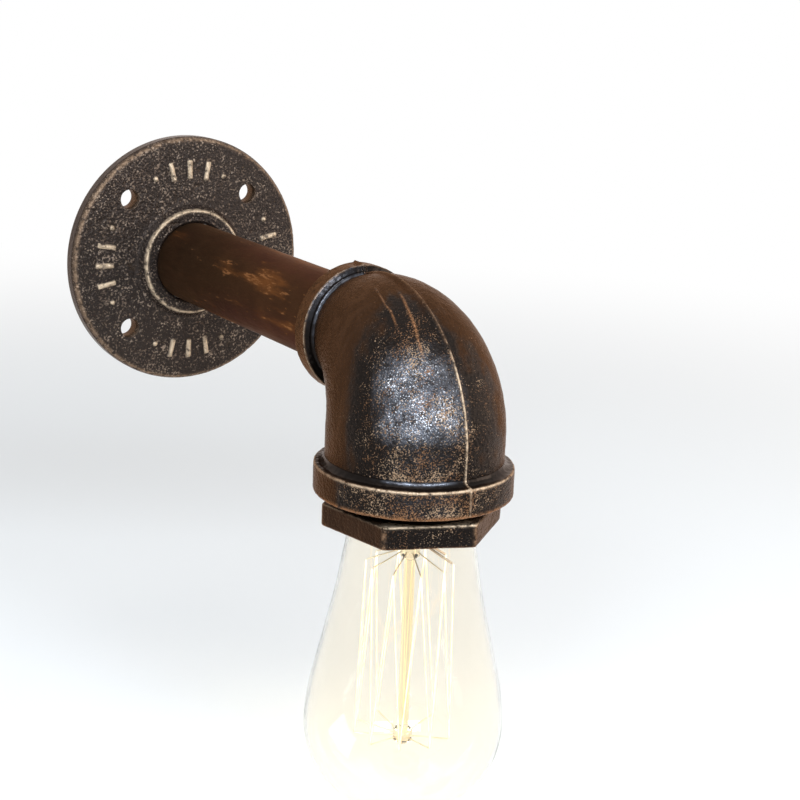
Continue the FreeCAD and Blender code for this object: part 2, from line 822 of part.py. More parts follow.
def hex_bushing():
    """Hex-headed bushing whose male thread shows between the band and the hex."""
    bottom = hex_bottom()
    top = bottom + S.bushing_length
    hexagon = DOC.addObject("Part::Prism", "hex_blank")
    hexagon.Polygon = 6
    bind(hexagon, "Circumradius", S.hex_across_flats / math.sqrt(3))
    bind(hexagon, "Height", S.hex_height)
    put(hexagon, (0, 0, bottom), FreeCAD.Rotation(FreeCAD.Vector(0, 0, 1), float(S.hex_turn)))
    bind(hexagon, "Placement.Rotation.Angle", S.hex_turn)
    head = filleted("hex_head", hexagon, S.hex_round)
    swing = float(S.bushing_thread_depth) / 2
    mean = float(S.bushing_thread_diameter) / 2 - swing
    thread = shaped("bushing_thread", screw_form(
        mean, swing, float(S.bushing_thread_pitch), float(bottom + S.hex_height / 2), float(top)))
    bore_end = top - S.shoulder_length
    bore = rod("bushing_bore_cut", bushing_bore(), bore_end - bottom, (0, 0, bottom))
    shoulder = rod("shoulder_cut", shoulder_bore(), S.bushing_length, (0, 0, bottom))
    groove = rod("groove_cut", bushing_bore() + S.ring_groove_depth,
                 S.ring_thickness + S.holder_gap, (0, 0, bottom + S.ring_height))
    bushing = cut("bushing_cut", fused("bushing_outside", [head, thread]),
                  fused("bushing_inside", [bore, shoulder, groove]))
    put(bushing, outlet())
    keep(bushing, "hex_bushing")


def snap_ring():
    """Split flat ring in the bushing's groove, under the lampholder."""
    radius = bushing_bore() + S.ring_groove_depth - S.screwed_gap
    place = (0, 0, hex_bottom() + S.ring_height)
    blank = rod("ring_blank", radius, S.ring_thickness, place)
    bind(blank, "Angle", 360 - S.ring_gap_angle)
    inner = rod("ring_inner", bushing_bore() - S.ring_lip, S.ring_thickness, place)
    ring = cut("ring_cut", blank, inner)
    put(ring, outlet())
    keep(ring, "snap_ring")


# --- lampholder -----------------------------------------------------------------------------


def lamp_top():
    """Height of the lamp cap's centre contact."""
    return hex_bottom() + S.cap_inset + S.cap_length


def holder_heights():
    """Heights of the lampholder's seat, step, ceiling and top face."""
    seat = hex_bottom() + S.ring_height + S.ring_thickness
    ceiling = lamp_top() + S.contact_room
    step = ceiling - S.chamber_depth
    top = ceiling + S.holder_floor
    return seat, step, ceiling, top


def shell_radius():
    """Mean radius inside the holder's screw shell."""
    return S.cap_thread_radius + S.cap_thread_gap


def holder_insulator():
    """Porcelain body of the lampholder."""
    seat, step, ceiling, top = holder_heights()
    flange = bushing_bore() - S.holder_gap
    flange_top = hex_bottom() + S.bushing_length - S.shoulder_length - S.holder_gap
    barrel = shoulder_bore() - S.holder_gap
    crown = S.holder_top_diameter / 2
    shell = shell_radius() + S.shell_sheet + S.cap_thread_swing + S.holder_gap
    mouth = bushing_bore() - S.mouth_lip
    chamber = S.chamber_diameter / 2
    mouth_top = step - S.shell_length - S.holder_floor / 2
    body = turned("holder_insulator", [
        (mouth, seat), (flange, seat), (flange, flange_top), (barrel, flange_top),
        (barrel, step + S.holder_wall), (crown, ceiling), (crown, top), (0, top), (0, ceiling),
        (chamber, ceiling), (chamber, step), (shell, step), (shell, mouth_top),
        (mouth, mouth_top),
    ])
    barrier = attach(body, "barrier", "XY_Plane", top)
    half = S.barrier_width / 2
    reach = S.barrier_length / 2
    draw_outline(barrier, [(-half, -reach), (half, -reach), (half, reach), (-half, reach)])
    raised(body, "barrier_wall", barrier, S.barrier_height)
    rivets = attach(body, "rivet_places", "XY_Plane", ceiling)
    for side in (-0.5, 0.5):
        draw_circle(rivets, S.terminal_spacing * side, 0, S.rivet_diameter / 2 + S.screwed_gap)
    cut_in(body, "rivet_holes", rivets, S.holder_floor)
    put(body, outlet())
    keep(body, "holder_insulator")


def holder_screw_shell():
    """Thin screw shell that the lamp cap turns in, with an inward lip at its top."""
    seat, step, ceiling, top = holder_heights()
    swing = float(S.cap_thread_swing)
    pitch = float(S.cap_thread_pitch)
    sheet = float(S.shell_sheet)
    inner = float(shell_radius())
    lip_top = float(step - S.contact_sheet)
    bottom = float(step - S.shell_length)
    outside = screw_form(inner + sheet, swing, pitch, bottom, lip_top)
    inside = screw_form(inner, swing, pitch, bottom, lip_top - sheet)
    opening = Part.makeCylinder(float(S.shell_lip_bore) / 2, lip_top - bottom,
                                FreeCAD.Vector(0, 0, bottom))
    shell = shaped("shell_sheet_form", outside.cut(inside).cut(opening))
    put(shell, outlet())
    keep(shell, "holder_screw_shell")


def bent_strip(label, corners, width):
    """Flat strip bent in the XZ plane, with equal width each side of it."""
    body = DOC.addObject("PartDesign::Body", label + "_body")
    sketch = attach(body, label + "_outline", "XZ_Plane")
    draw_outline(sketch, corners)
    feature = body.newObject("PartDesign::Pad", label + "_strip")
    feature.Profile = sketch
    feature.Midplane = True
    bind(feature, "Length", width)
    DOC.recompute()
    put(body, outlet())
    return keep(body, label)


def contacts():
    """Centre spring under the live terminal and side strip under the neutral one."""
    seat, step, ceiling, top = holder_heights()
    sheet = S.contact_sheet
    rivet_x = S.terminal_spacing / 2
    foot = S.rivet_head_diameter / 2 + S.rivet_land
    plate = S.contact_width / 2
    low = ceiling - S.centre_spring
    bent_strip("centre_contact", [
        (-rivet_x - foot, ceiling), (-rivet_x + foot, ceiling), (-plate, low), (plate, low),
        (plate, low - sheet), (-plate - sheet / 4, low - sheet),
        (-rivet_x + foot - sheet / 4, ceiling - sheet), (-rivet_x - foot, ceiling - sheet),
    ], S.contact_width)
    leg = rivet_x + foot + S.side_contact_room
    toe = shell_radius() - S.cap_thread_swing - sheet
    bent_strip("side_contact", [
        (rivet_x - foot, ceiling), (leg + sheet / 2, ceiling), (leg + sheet / 2, step),
        (toe, step), (toe, step - sheet), (leg - sheet / 2, step - sheet),
        (leg - sheet / 2, ceiling - sheet), (rivet_x - foot, ceiling - sheet),
    ], S.side_contact_width)


def terminal(label, side):
    """Brass terminal block with a wire hole along the arm and a clamping screw from above."""
    seat, step, ceiling, top = holder_heights()
    middle = S.terminal_spacing * side
    body_block = block(label + "_blank", (S.terminal_width, S.terminal_depth, S.terminal_height),
                       (middle - S.terminal_width / 2, -S.terminal_depth / 2, top))
    wire_hole = rod(label + "_wire_hole", S.terminal_wire_hole / 2, S.terminal_depth,
                    (middle, -S.terminal_depth / 2, top + S.terminal_height / 2), ALONG_ARM)
    screw_hole = rod(label + "_screw_hole", S.terminal_screw_diameter / 2 + S.screwed_gap,
                     S.terminal_height / 2, (middle, 0, top + S.terminal_height / 2))
    rivet_hole = rod(label + "_rivet_hole", S.rivet_diameter / 2 + S.screwed_gap,
                     S.rivet_anchor, (middle, 0, top))
    item = cut(label + "_cut", body_block,
               fused(label + "_holes", [wire_hole, screw_hole, rivet_hole]))
    put(item, outlet())
    keep(item, label)


def pair(label, make_one):
    """Two alike fasteners, one at each terminal, kept as one group of separate solids."""
    solids = []
    for side in (-0.5, 0.5):
        solids.append(make_one(float(S.terminal_spacing * side)))
    group = shaped(label + "_pair", Part.makeCompound(solids))
    put(group, outlet())
    keep(group, label)


def terminal_screws():
    seat, step, ceiling, top = holder_heights()
    wire_height = float(top + S.terminal_height / 2)
    tip = wire_height + float(S.ferrule_diameter) / 2
    seat_height = float(top + S.terminal_height)
    head_height = float(S.terminal_head_height)
    up = FreeCAD.Vector(0, 0, 1)

    def screw(x_place):
        shank = Part.makeCylinder(float(S.terminal_screw_diameter) / 2, seat_height - tip,
                                  FreeCAD.Vector(x_place, 0, tip), up)
        head_radius = float(S.terminal_head_diameter) / 2
        head = Part.makeCylinder(head_radius, head_height,
                                 FreeCAD.Vector(x_place, 0, seat_height), up)
        slot = Part.makeBox(head_radius * 2, head_radius / 3, head_height / 2, FreeCAD.Vector(
            x_place - head_radius, -head_radius / 6, seat_height + head_height / 2))
        return shank.fuse(head).cut(slot).removeSplitter()

    pair("terminal_screws", screw)


def contact_rivets():
    seat, step, ceiling, top = holder_heights()
    under = float(ceiling - S.contact_sheet)
    head_height = float(S.rivet_head_height)
    length = float(top + S.rivet_anchor) - under
    up = FreeCAD.Vector(0, 0, 1)

    def rivet(x_place):
        shank = Part.makeCylinder(float(S.rivet_diameter) / 2, length,
                                  FreeCAD.Vector(x_place, 0, under), up)
        head = Part.makeCylinder(float(S.rivet_head_diameter) / 2, head_height,
                                 FreeCAD.Vector(x_place, 0, under - head_height), up)
        return shank.fuse(head).removeSplitter()

    pair("contact_rivets", rivet)


def pierce_contacts():
    """The rivets pass through a hole in each contact strip."""
    for item in NODES:
        if item.Label not in ("centre_contact", "side_contact"):
            continue
        side = -0.5 if item.Label == "centre_contact" else 0.5
        sketch = attach(item, item.Label + "_rivet", "XY_Plane")
        draw_circle(sketch, S.terminal_spacing * side, 0, S.rivet_diameter / 2 + S.screwed_gap)
        cut_in(item, item.Label + "_hole", sketch)


# --- wiring ---------------------------------------------------------------------------------


def wire(label, side):
    """Insulated core from the wall, down the pipe's middle, to its terminal."""
    seat, step, ceiling, top = holder_heights()
    height = float(top + S.terminal_height / 2)
    near = float(S.wire_spacing) * side
    far = float(S.terminal_spacing) * side
    rear = float(S.reach - S.wire_rear)
    front = float(S.terminal_depth) / 2
    corners = [
        FreeCAD.Vector(near, rear, 0),
        FreeCAD.Vector(near, float(S.wire_fan_start), 0),
        FreeCAD.Vector(far, float(S.wire_fan_end), height),
        FreeCAD.Vector(far, front, height),
    ]
    item = shaped(label, tube(corners, float(S.wire_diameter) / 2, float(S.wire_bend)))
    put(item, outlet())
    keep(item, label)


def wire_ferrules():
    """Crimped ends: two in the terminals and two at the wall."""
    seat, step, ceiling, top = holder_heights()
    height = float(top + S.terminal_height / 2)
    radius = float(S.ferrule_diameter) / 2
    solids = []
    for side in (-0.5, 0.5):
        front = FreeCAD.Vector(float(S.terminal_spacing) * side, float(S.terminal_depth) / 2, height)
        solids.append(Part.makeCylinder(radius, float(S.ferrule_length), front,
                                        FreeCAD.Vector(0, -1, 0)))
        rear = FreeCAD.Vector(float(S.wire_spacing) * side, float(S.reach - S.wire_rear), 0)
        solids.append(Part.makeCylinder(radius, float(S.tail_ferrule_length), rear,
                                        FreeCAD.Vector(0, 1, 0)))
    item = shaped("ferrule_group", Part.makeCompound(solids))
    put(item, outlet())
    keep(item, "wire_ferrules")


def wire_sleeve():
    """Heat-proof sleeving round both cores inside the pipe."""
    radius = S.sleeve_diameter / 2
    length = S.reach - S.sleeve_rear - S.sleeve_front
    place = (0, S.sleeve_front, 0)
    outside = rod("sleeve_outside", radius, length, place, ALONG_ARM)
    inside = rod("sleeve_inside", radius - S.sleeve_wall, length, place, ALONG_ARM)
    item = cut("sleeve_cut", outside, inside)
    put(item, outlet())
    keep(item, "wire_sleeve")


# --- lamp -----------------------------------------------------------------------------------


def cap_heights():
    """Heights of the cap's contact, thread start, skirt and rim."""
    top = lamp_top()
    rim = top - S.cap_length
    return top, top - S.cap_thread_start, rim + S.cap_skirt_length, rim


def cap_shell():
    """Screw cap of the lamp, in mesh with the holder's shell."""
    top, thread_top, skirt, rim = [float(height) for height in cap_heights()]
    thread = screw_form(float(S.cap_thread_radius), float(S.cap_thread_swing),
                        float(S.cap_thread_pitch), skirt - float(S.cap_join), thread_top)
    band = Part.makeCylinder(float(S.cap_skirt_diameter) / 2, skirt - rim, FreeCAD.Vector(0, 0, rim))
    bore = Part.makeCylinder(float(S.cap_bore) / 2, top - rim, FreeCAD.Vector(0, 0, rim))
    flare_radius = float(S.cap_skirt_diameter) / 2 - float(S.shell_sheet)
    flare = Part.makeCylinder(flare_radius, skirt - rim - float(S.shell_sheet),
                              FreeCAD.Vector(0, 0, rim))
    item = shaped("cap_form", thread.fuse(band).cut(bore).cut(flare))
    put(item, outlet())
    keep(item, "lamp_cap_shell")


def cap_insulator():
    """Black glass cone between the cap's shell and its centre contact."""
    top, thread_top, skirt, rim = cap_heights()
    contact = S.cap_contact_diameter / 2
    plug = S.cap_bore / 2 - S.screwed_gap
    face = top - S.cap_contact_height
    low = thread_top - S.cap_plug_length
    body = turned("lamp_cap_insulator", [
        (S.lead_diameter, low), (plug, low), (plug, thread_top),
        (plug - S.cap_ledge, thread_top), (contact + S.cap_contact_edge, face),
        (S.lead_diameter, face),
    ])
    put(body, outlet())
    keep(body, "lamp_cap_insulator")


def cap_contact():
    """Solder dome in the middle of the cap."""
    top = cap_heights()[0]
    contact = S.cap_contact_diameter / 2
    face = top - S.cap_contact_height
    body = turned("lamp_cap_contact", [
        (0, face), (contact, face), (contact, face + S.cap_contact_edge),
        (contact - S.cap_contact_slope, top), (0, top),
    ])
    put(body, outlet())
    keep(body, "lamp_cap_contact")


def cap_cement():
    """Cement ring that holds the glass neck in the cap."""
    top, thread_top, skirt, rim = cap_heights()
    inner = S.neck_diameter / 2 + S.screwed_gap
    outer = S.cap_bore / 2 - S.screwed_gap
    low = skirt + S.screwed_gap
    high = skirt + S.cement_length
    body = turned("lamp_cap_cement", [(inner, low), (outer, low), (outer, high), (inner, high)])
    put(body, outlet())
    keep(body, "lamp_cap_cement")


# The glass below the cap's rim: share of the way down to the widest place, and share of the way
# out from the neck's radius to the belly's.
GLASS_FLARE = ((0.0, 0.077), (0.059, 0.238), (0.129, 0.365), (0.225, 0.436), (0.423, 0.569),
               (0.665, 0.779), (0.868, 0.95))


def glass_side(inset):
    """Side of the glass from its neck's top to its tip, moved in by inset; the end is round."""
    top, thread_top, skirt, rim = [float(height) for height in cap_heights()]
    belly_height = top - float(S.lamp_length) + float(S.belly_diameter) / 2
    neck = float(S.neck_diameter) / 2 - inset
    belly = float(S.belly_diameter) / 2 - inset
    points = [FreeCAD.Vector(neck, 0, skirt)]
    for down_share, out_share in GLASS_FLARE:
        points.append(FreeCAD.Vector(neck + (belly - neck) * out_share, 0,
                                     rim + (belly_height - rim) * down_share))
    points.append(FreeCAD.Vector(belly, 0, belly_height))
    curve = Part.BSplineCurve()
    down = FreeCAD.Vector(0, 0, -1)
    curve.interpolate(Points=points, InitialTangent=down, FinalTangent=down)
    slant = belly * math.sqrt(0.5)
    tip = FreeCAD.Vector(0, 0, belly_height - belly)
    end = Part.Arc(points[-1], FreeCAD.Vector(slant, 0, belly_height - slant), tip)
    shoulder = FreeCAD.Vector(neck, 0, top - float(S.neck_top))
    edges = [Part.LineSegment(shoulder, points[0]).toShape(), curve.toShape(), end.toShape()]
    return edges, shoulder, tip


def lamp_glass():
    """Clear glass envelope, open at the top of its neck."""
    outside, outer_shoulder, outer_tip = glass_side(0)
    inside, inner_shoulder, inner_tip = glass_side(float(S.glass_wall))
    ends = [Part.LineSegment(outer_shoulder, inner_shoulder).toShape(),
            Part.LineSegment(outer_tip, inner_tip).toShape()]
    face = Part.Face(Part.Wire(Part.__sortEdges__(outside + inside + ends)))
    solid = face.revolve(FreeCAD.Vector(0, 0, 0), FreeCAD.Vector(0, 0, 1), 360)
    item = shaped("glass_form", solid)
    put(item, outlet())
    keep(item, "lamp_glass")


def cage_heights():
    """Heights of the cage's upper hooks and lower hooks."""
    upper = -S.cage_top_drop
    return upper, upper - S.cage_height


def glass_stem():
    """Glass mount: flare in the neck, exhaust tube, pinch, long rod and two wire buttons."""
    upper, lower = cage_heights()
    flare_top = lamp_top() - S.neck_top
    stem = S.stem_tube_diameter / 2
    thin = S.stem_rod_diameter / 2
    button = S.stem_button_diameter / 2
    sheet = S.stem_flare_sheet
    rim = S.neck_diameter / 2 - S.glass_wall - S.screwed_gap
    exhaust_top = flare_top + S.stem_exhaust_length
    exhaust_foot = flare_top - S.stem_exhaust_length
    pinch = upper + S.pinch_rise
    first = upper + S.upper_button_rise
    first_top = first + S.stem_button_length
    second = lower - S.stem_button_length
    slope = S.stem_chamfer
    body = turned("glass_stem", [
        (0, exhaust_top), (thin, exhaust_top), (thin, exhaust_foot), (rim - sheet, flare_top),
        (rim, flare_top), (rim, flare_top - sheet), (stem, flare_top - S.stem_flare_length),
        (stem, pinch), (thin, pinch - S.stem_taper), (thin, first_top + slope),
        (button, first_top), (button, first), (thin, first - slope), (thin, lower + slope),
        (button, lower), (button, second), (thin, second - slope), (0, second - slope),
    ])
    put(body, outlet())
    keep(body, "lamp_stem")


def cage_points():
    """Corners of the filament: it runs up and down between upper and lower hooks."""
    upper, lower = [float(height) for height in cage_heights()]
    hooks = int(float(S.cage_hooks))
    step = 360 / hooks
    points = []
    for index in range(hooks):
        points.append(polar(float(S.cage_top_diameter) / 2, step * index, upper))
        if index < hooks - 1:
            points.append(polar(float(S.cage_foot_diameter) / 2, step * (index + 0.5), lower))
    return points


def filament():
    item = shaped("filament_form", ball_jointed(cage_points(), float(S.filament_diameter) / 2))
    put(item, outlet())
    keep(item, "lamp_filament")


def spoke(start, end, radius, clearance):
    """Straight wire that stops short of end by clearance."""
    run = end - start
    return Part.makeCylinder(radius, run.Length - clearance, start, run)


def anchors():
    """Fine wires from the stem's buttons that carry the filament's corners."""
    upper, lower = [float(height) for height in cage_heights()]
    radius = float(S.anchor_diameter) / 2
    clearance = float(S.filament_diameter) / 2 + radius + float(S.screwed_gap)
    button = float(S.stem_button_diameter) / 2 + float(S.screwed_gap)
    points = cage_points()
    middle = float(S.stem_button_length) / 2
    upper_start = upper + float(S.upper_button_rise) + middle
    for label, corners, height in (("lamp_upper_anchors", points[2:-2:2], upper_start),
                                   ("lamp_lower_anchors", points[1::2], lower - middle)):
        solids = []
        for corner in corners:
            outward = FreeCAD.Vector(corner.x, corner.y, 0).normalize()
            start = outward * button + FreeCAD.Vector(0, 0, height)
            solids.append(spoke(start, corner, radius, clearance))
        item = shaped(label + "_group", Part.makeCompound(solids))
        put(item, outlet())
        keep(item, label)


def lead_wires():
    """Two stout wires from the stem's pinch to the ends of the filament."""
    upper = float(cage_heights()[0])
    radius = float(S.lead_diameter) / 2
    points = cage_points()
    clearance = float(S.filament_diameter) / 2 + radius + float(S.screwed_gap)
    solids = []
    for corner in (points[0], points[-1]):
        outward = FreeCAD.Vector(corner.x, corner.y, 0).normalize()
        start = outward * (float(S.stem_tube_diameter) / 2 - radius)
        start.z = upper + float(S.pinch_rise - S.stem_taper / 2)
        bend = outward * (float(S.stem_button_diameter) / 2 + 4 * radius)
        bend.z = upper + float(S.upper_button_rise + S.stem_button_length)
        corners = [start, bend, corner + (bend - corner).normalize() * clearance]
        solids.append(ball_jointed(corners, radius))
    item = shaped("lead_group", Part.makeCompound(solids))
    put(item, outlet())
    keep(item, "lamp_lead_wires")


# --- build, check and write -----------------------------------------------------------------


def build():
    fill_sheet()
    floor_flange()
    arm_pipe()
    pipe_grommet()
    earth_screw()
    earth_ring_terminal()
    earth_wire()
    reducing_elbow()
    hex_bushing()
    snap_ring()
    holder_insulator()
    holder_screw_shell()
    contacts()
    pierce_contacts()
    terminal("live_terminal", -0.5)
    terminal("neutral_terminal", 0.5)
    terminal_screws()
    contact_rivets()
    wire("live_wire", -0.5)
    wire("neutral_wire", 0.5)
    wire_ferrules()
    wire_sleeve()
    cap_shell()
    cap_insulator()
    cap_contact()
    cap_cement()
    lamp_glass()
    glass_stem()
    filament()
    anchors()
    lead_wires()


def check():
    """Stops if any object failed or any sub-part's shape is empty or not valid."""
    DOC.recompute()
    for item in DOC.Objects:
        if "Invalid" in item.State or "Error" in item.State:
            raise RuntimeError(f"{item.Name} failed: {item.State}")
    for item in NODES:
        if item.Shape.isNull() or not item.Shape.isValid():
            raise RuntimeError(f"{item.Label} has no valid shape")


def write():
    os.makedirs("parts", exist_ok=True)
    for item in NODES:
        item.Shape.exportStep(f"parts/{item.Label}.step")
        print(f"{item.Label}: {len(item.Shape.Solids)} solid(s), {item.Shape.Volume:.1f} mm3")


build()
check()
write()
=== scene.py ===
"""Looks of an industrial pipe wall light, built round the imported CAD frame.

Every length in the classes of pieces is in millimetres and is turned to metres where a mesh is
made. Patterns of the finishes are in cells per metre. The frame is the CAD's: the origin is the
centre of the flange's back face on the wall, the arm leaves the wall along -Y, +Z is up, and the
lamp hangs below the elbow.
"""

from __future__ import annotations

import json
import logging
import math
from dataclasses import dataclass
from enum import Enum, IntEnum

import bpy
import numpy as np
from mathutils import Matrix, Vector

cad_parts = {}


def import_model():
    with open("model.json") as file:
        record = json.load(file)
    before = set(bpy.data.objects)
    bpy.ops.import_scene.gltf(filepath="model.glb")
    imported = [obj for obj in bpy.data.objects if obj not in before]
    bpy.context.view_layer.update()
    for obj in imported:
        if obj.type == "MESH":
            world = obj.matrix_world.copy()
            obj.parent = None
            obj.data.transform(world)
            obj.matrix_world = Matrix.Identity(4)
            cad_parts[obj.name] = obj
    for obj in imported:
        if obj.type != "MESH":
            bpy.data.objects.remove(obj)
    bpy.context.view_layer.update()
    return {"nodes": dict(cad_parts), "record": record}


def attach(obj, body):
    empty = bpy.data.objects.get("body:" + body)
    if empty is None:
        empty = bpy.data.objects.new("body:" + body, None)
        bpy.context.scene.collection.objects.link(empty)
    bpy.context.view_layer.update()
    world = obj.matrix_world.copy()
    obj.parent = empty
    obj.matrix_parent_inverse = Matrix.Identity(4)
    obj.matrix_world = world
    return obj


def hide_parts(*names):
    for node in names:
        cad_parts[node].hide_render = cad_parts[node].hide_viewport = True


Colour = tuple[float, float, float]
Point = tuple[float, float, float]
Span = tuple[float, float]
Layers = tuple[tuple[float, float, int], ...]

LOG = logging.getLogger("pipe_light")
MM = 0.001
METRE = 1000.0
FULL_TURN = 2.0 * math.pi
WHITE = (1.0, 1.0, 1.0)
# How far the upright axis of the elbow's outlet, the bushing and the lamp stands off the wall.
HEAD_REACH = 152.1
# Odd factors and shifts of the hash that gives each corner of a noise lattice its height.
CORNER_FACTORS = np.array([73856093, 19349663, 83492791])
SEED_FACTOR = 2654435761
HASH_ROUNDS = ((15, 2246822519), (13, 3266489917))
LAST_SHIFT = 16
WORD = 0xFFFFFFFF
HALF_WORD = 2147483648.0


class Body(Enum):
    """Moving groups of the CAD frame that a piece can ride on."""

    WALL = "root"
    HEAD = "head"
    LAMP = "lamp"


class Slot(Enum):
    """Material slots of the record that new pieces take their finish from."""

    CAST = "cast_bronze"
    PIPE = "pipe_bronze"
    GLASS = "clear_glass"
    FILAMENT = "filament"


# --- shapes worked out as whole arrays -------------------------------------------------------


def smooth(start: float, end: float, values: np.ndarray) -> np.ndarray:
    """Smooth step: 3t^2 - 2t^3 of how far each value is on its way from the start to the end.

    Args:
        start: Value at which the share is still 0.
        end: Value at which it is 1, below the start for a step that falls.
        values: Values to step.

    Returns:
        Shares between 0 and 1, in the shape of the values.
    """
    share = np.clip((values - start) / (end - start), 0.0, 1.0)
    return share * share * (3.0 - 2.0 * share)


def ridge(distance: np.ndarray, width: float) -> np.ndarray:
    """Rounded ridge over a line: exp(-(d / w)^2), which is 1 on the line itself.

    Args:
        distance: Distances from the line.
        width: Distance at which the ridge has sunk to 1/e.

    Returns:
        Shares between 0 and 1, in the shape of the distances.
    """
    return np.exp(-(distance / width) ** 2)


def folded(angles: np.ndarray, sector: float, first: float = 0.0) -> np.ndarray:
    """Angles from the nearest of evenly spaced directions: (a - f + s/2) mod s, less s/2.

    Args:
        angles: Angles in radians.
        sector: Angle between two directions.
        first: Angle of one of them.

    Returns:
        Angles between minus and plus half a sector.
    """
    return (angles - first + sector / 2) % sector - sector / 2


def lattice(points: np.ndarray, cell: float, seed: int) -> np.ndarray:
    """Value noise: random heights on a cubic lattice, eased and blended between its corners.

    Args:
        points: Points in millimetres, in the last axis.
        cell: Edge of a lattice cube in millimetres.
        seed: Number that picks the heights.

    Returns:
        Heights between -1 and 1, one for each point.
    """
    scaled = points / cell
    base = np.floor(scaled).astype(np.int64)
    share = smooth(0.0, 1.0, scaled - base)
    total = np.zeros(points.shape[:-1])
    for corner in range(8):
        step = np.array([corner & 1, corner >> 1 & 1, corner >> 2 & 1])
        mixed = np.bitwise_xor.reduce((base + step) * CORNER_FACTORS, axis=-1)
        mixed = (mixed ^ seed * SEED_FACTOR) & WORD
        for shift, factor in HASH_ROUNDS:
            mixed = (mixed ^ mixed >> shift) * factor & WORD
        heights = (mixed ^ mixed >> LAST_SHIFT) / HALF_WORD - 1.0
        total += heights * np.prod(np.where(step == 1, share, 1.0 - share), axis=-1)
    return total


def layered(points: np.ndarray, layers: Layers) -> np.ndarray:
    """Sum of value noises.

    Args:
        points: Points in millimetres, in the last axis.
        layers: Share, cell in millimetres and seed of each noise.

    Returns:
        Heights, one for each point.
    """
    return sum(share * lattice(points, cell, seed) for share, cell, seed in layers)


def corner_arc(centre: Span, radius: float, start: float, end: float, count: int) -> np.ndarray:
    """Arc of a profile: centre plus radius times (cos, sin) of evenly spaced angles.

    Args:
        centre: Arc's centre as (radius from the axis, height).
        radius: Arc's own radius.
        start: First angle in degrees.
        end: Last angle in degrees.
        count: Number of points.

    Returns:
        Points as rows of (radius, height).
    """
    angles = np.radians(np.linspace(start, end, count))
    return np.column_stack((centre[0] + radius * np.cos(angles),
                            centre[1] + radius * np.sin(angles)))


def spaced(corners: np.ndarray, spacing: np.ndarray | float) -> np.ndarray:
    """Profile with its long runs divided into even steps no longer than the spacing.

    Args:
        corners: Rows of coordinates along the profile.
        spacing: Longest step, one number or one for each run.

    Returns:
        The same profile with the added rows.
    """
    lengths = np.linalg.norm(np.diff(corners, axis=0), axis=1)
    counts = np.maximum(1, np.ceil(lengths / spacing).astype(int))
    places = np.concatenate([index + np.arange(count) / count
                             for index, count in enumerate(counts)] + [[len(counts)]])
    whole = np.arange(len(corners))
    return np.column_stack([np.interp(places, whole, column) for column in corners.T])


def turned(profile: np.ndarray, sides: int) -> np.ndarray:
    """Surface of revolution about Z: (r cos a, r sin a, h) for each profile row and angle.

    Args:
        profile: Rows of (radius, height).
        sides: Number of angles round the axis.

    Returns:
        Grid of points, profile rows by angles by three.
    """
    angles = np.linspace(0.0, FULL_TURN, sides, endpoint=False)
    radii = profile[:, 0, None]
    heights = np.broadcast_to(profile[:, 1, None], (len(profile), sides))
    return np.stack((radii * np.cos(angles), radii * np.sin(angles), heights), axis=-1)


def off_wall(grid: np.ndarray) -> np.ndarray:
    """Grid laid on its side, (x, y, z) to (x, -z, y), so that heights run out from the wall."""
    return np.stack((grid[..., 0], -grid[..., 2], grid[..., 1]), axis=-1)


def outward(grid: np.ndarray) -> np.ndarray:
    """Unit normals of a grid that wraps both ways: the cross product of its two slopes.

    The sum of point . normal over the grid has the sign of the volume inside, and where that is
    negative all normals are turned round.

    Args:
        grid: Points, rows by columns by three.

    Returns:
        Unit normals in the grid's shape.
    """
    along, across = (np.roll(grid, -1, axis=axis) - np.roll(grid, 1, axis=axis) for axis in (0, 1))
    normals = np.cross(across, along)
    if np.sum(grid * normals) < 0:
        normals = -normals
    return normals / np.maximum(np.linalg.norm(normals, axis=-1, keepdims=True), 1e-9)


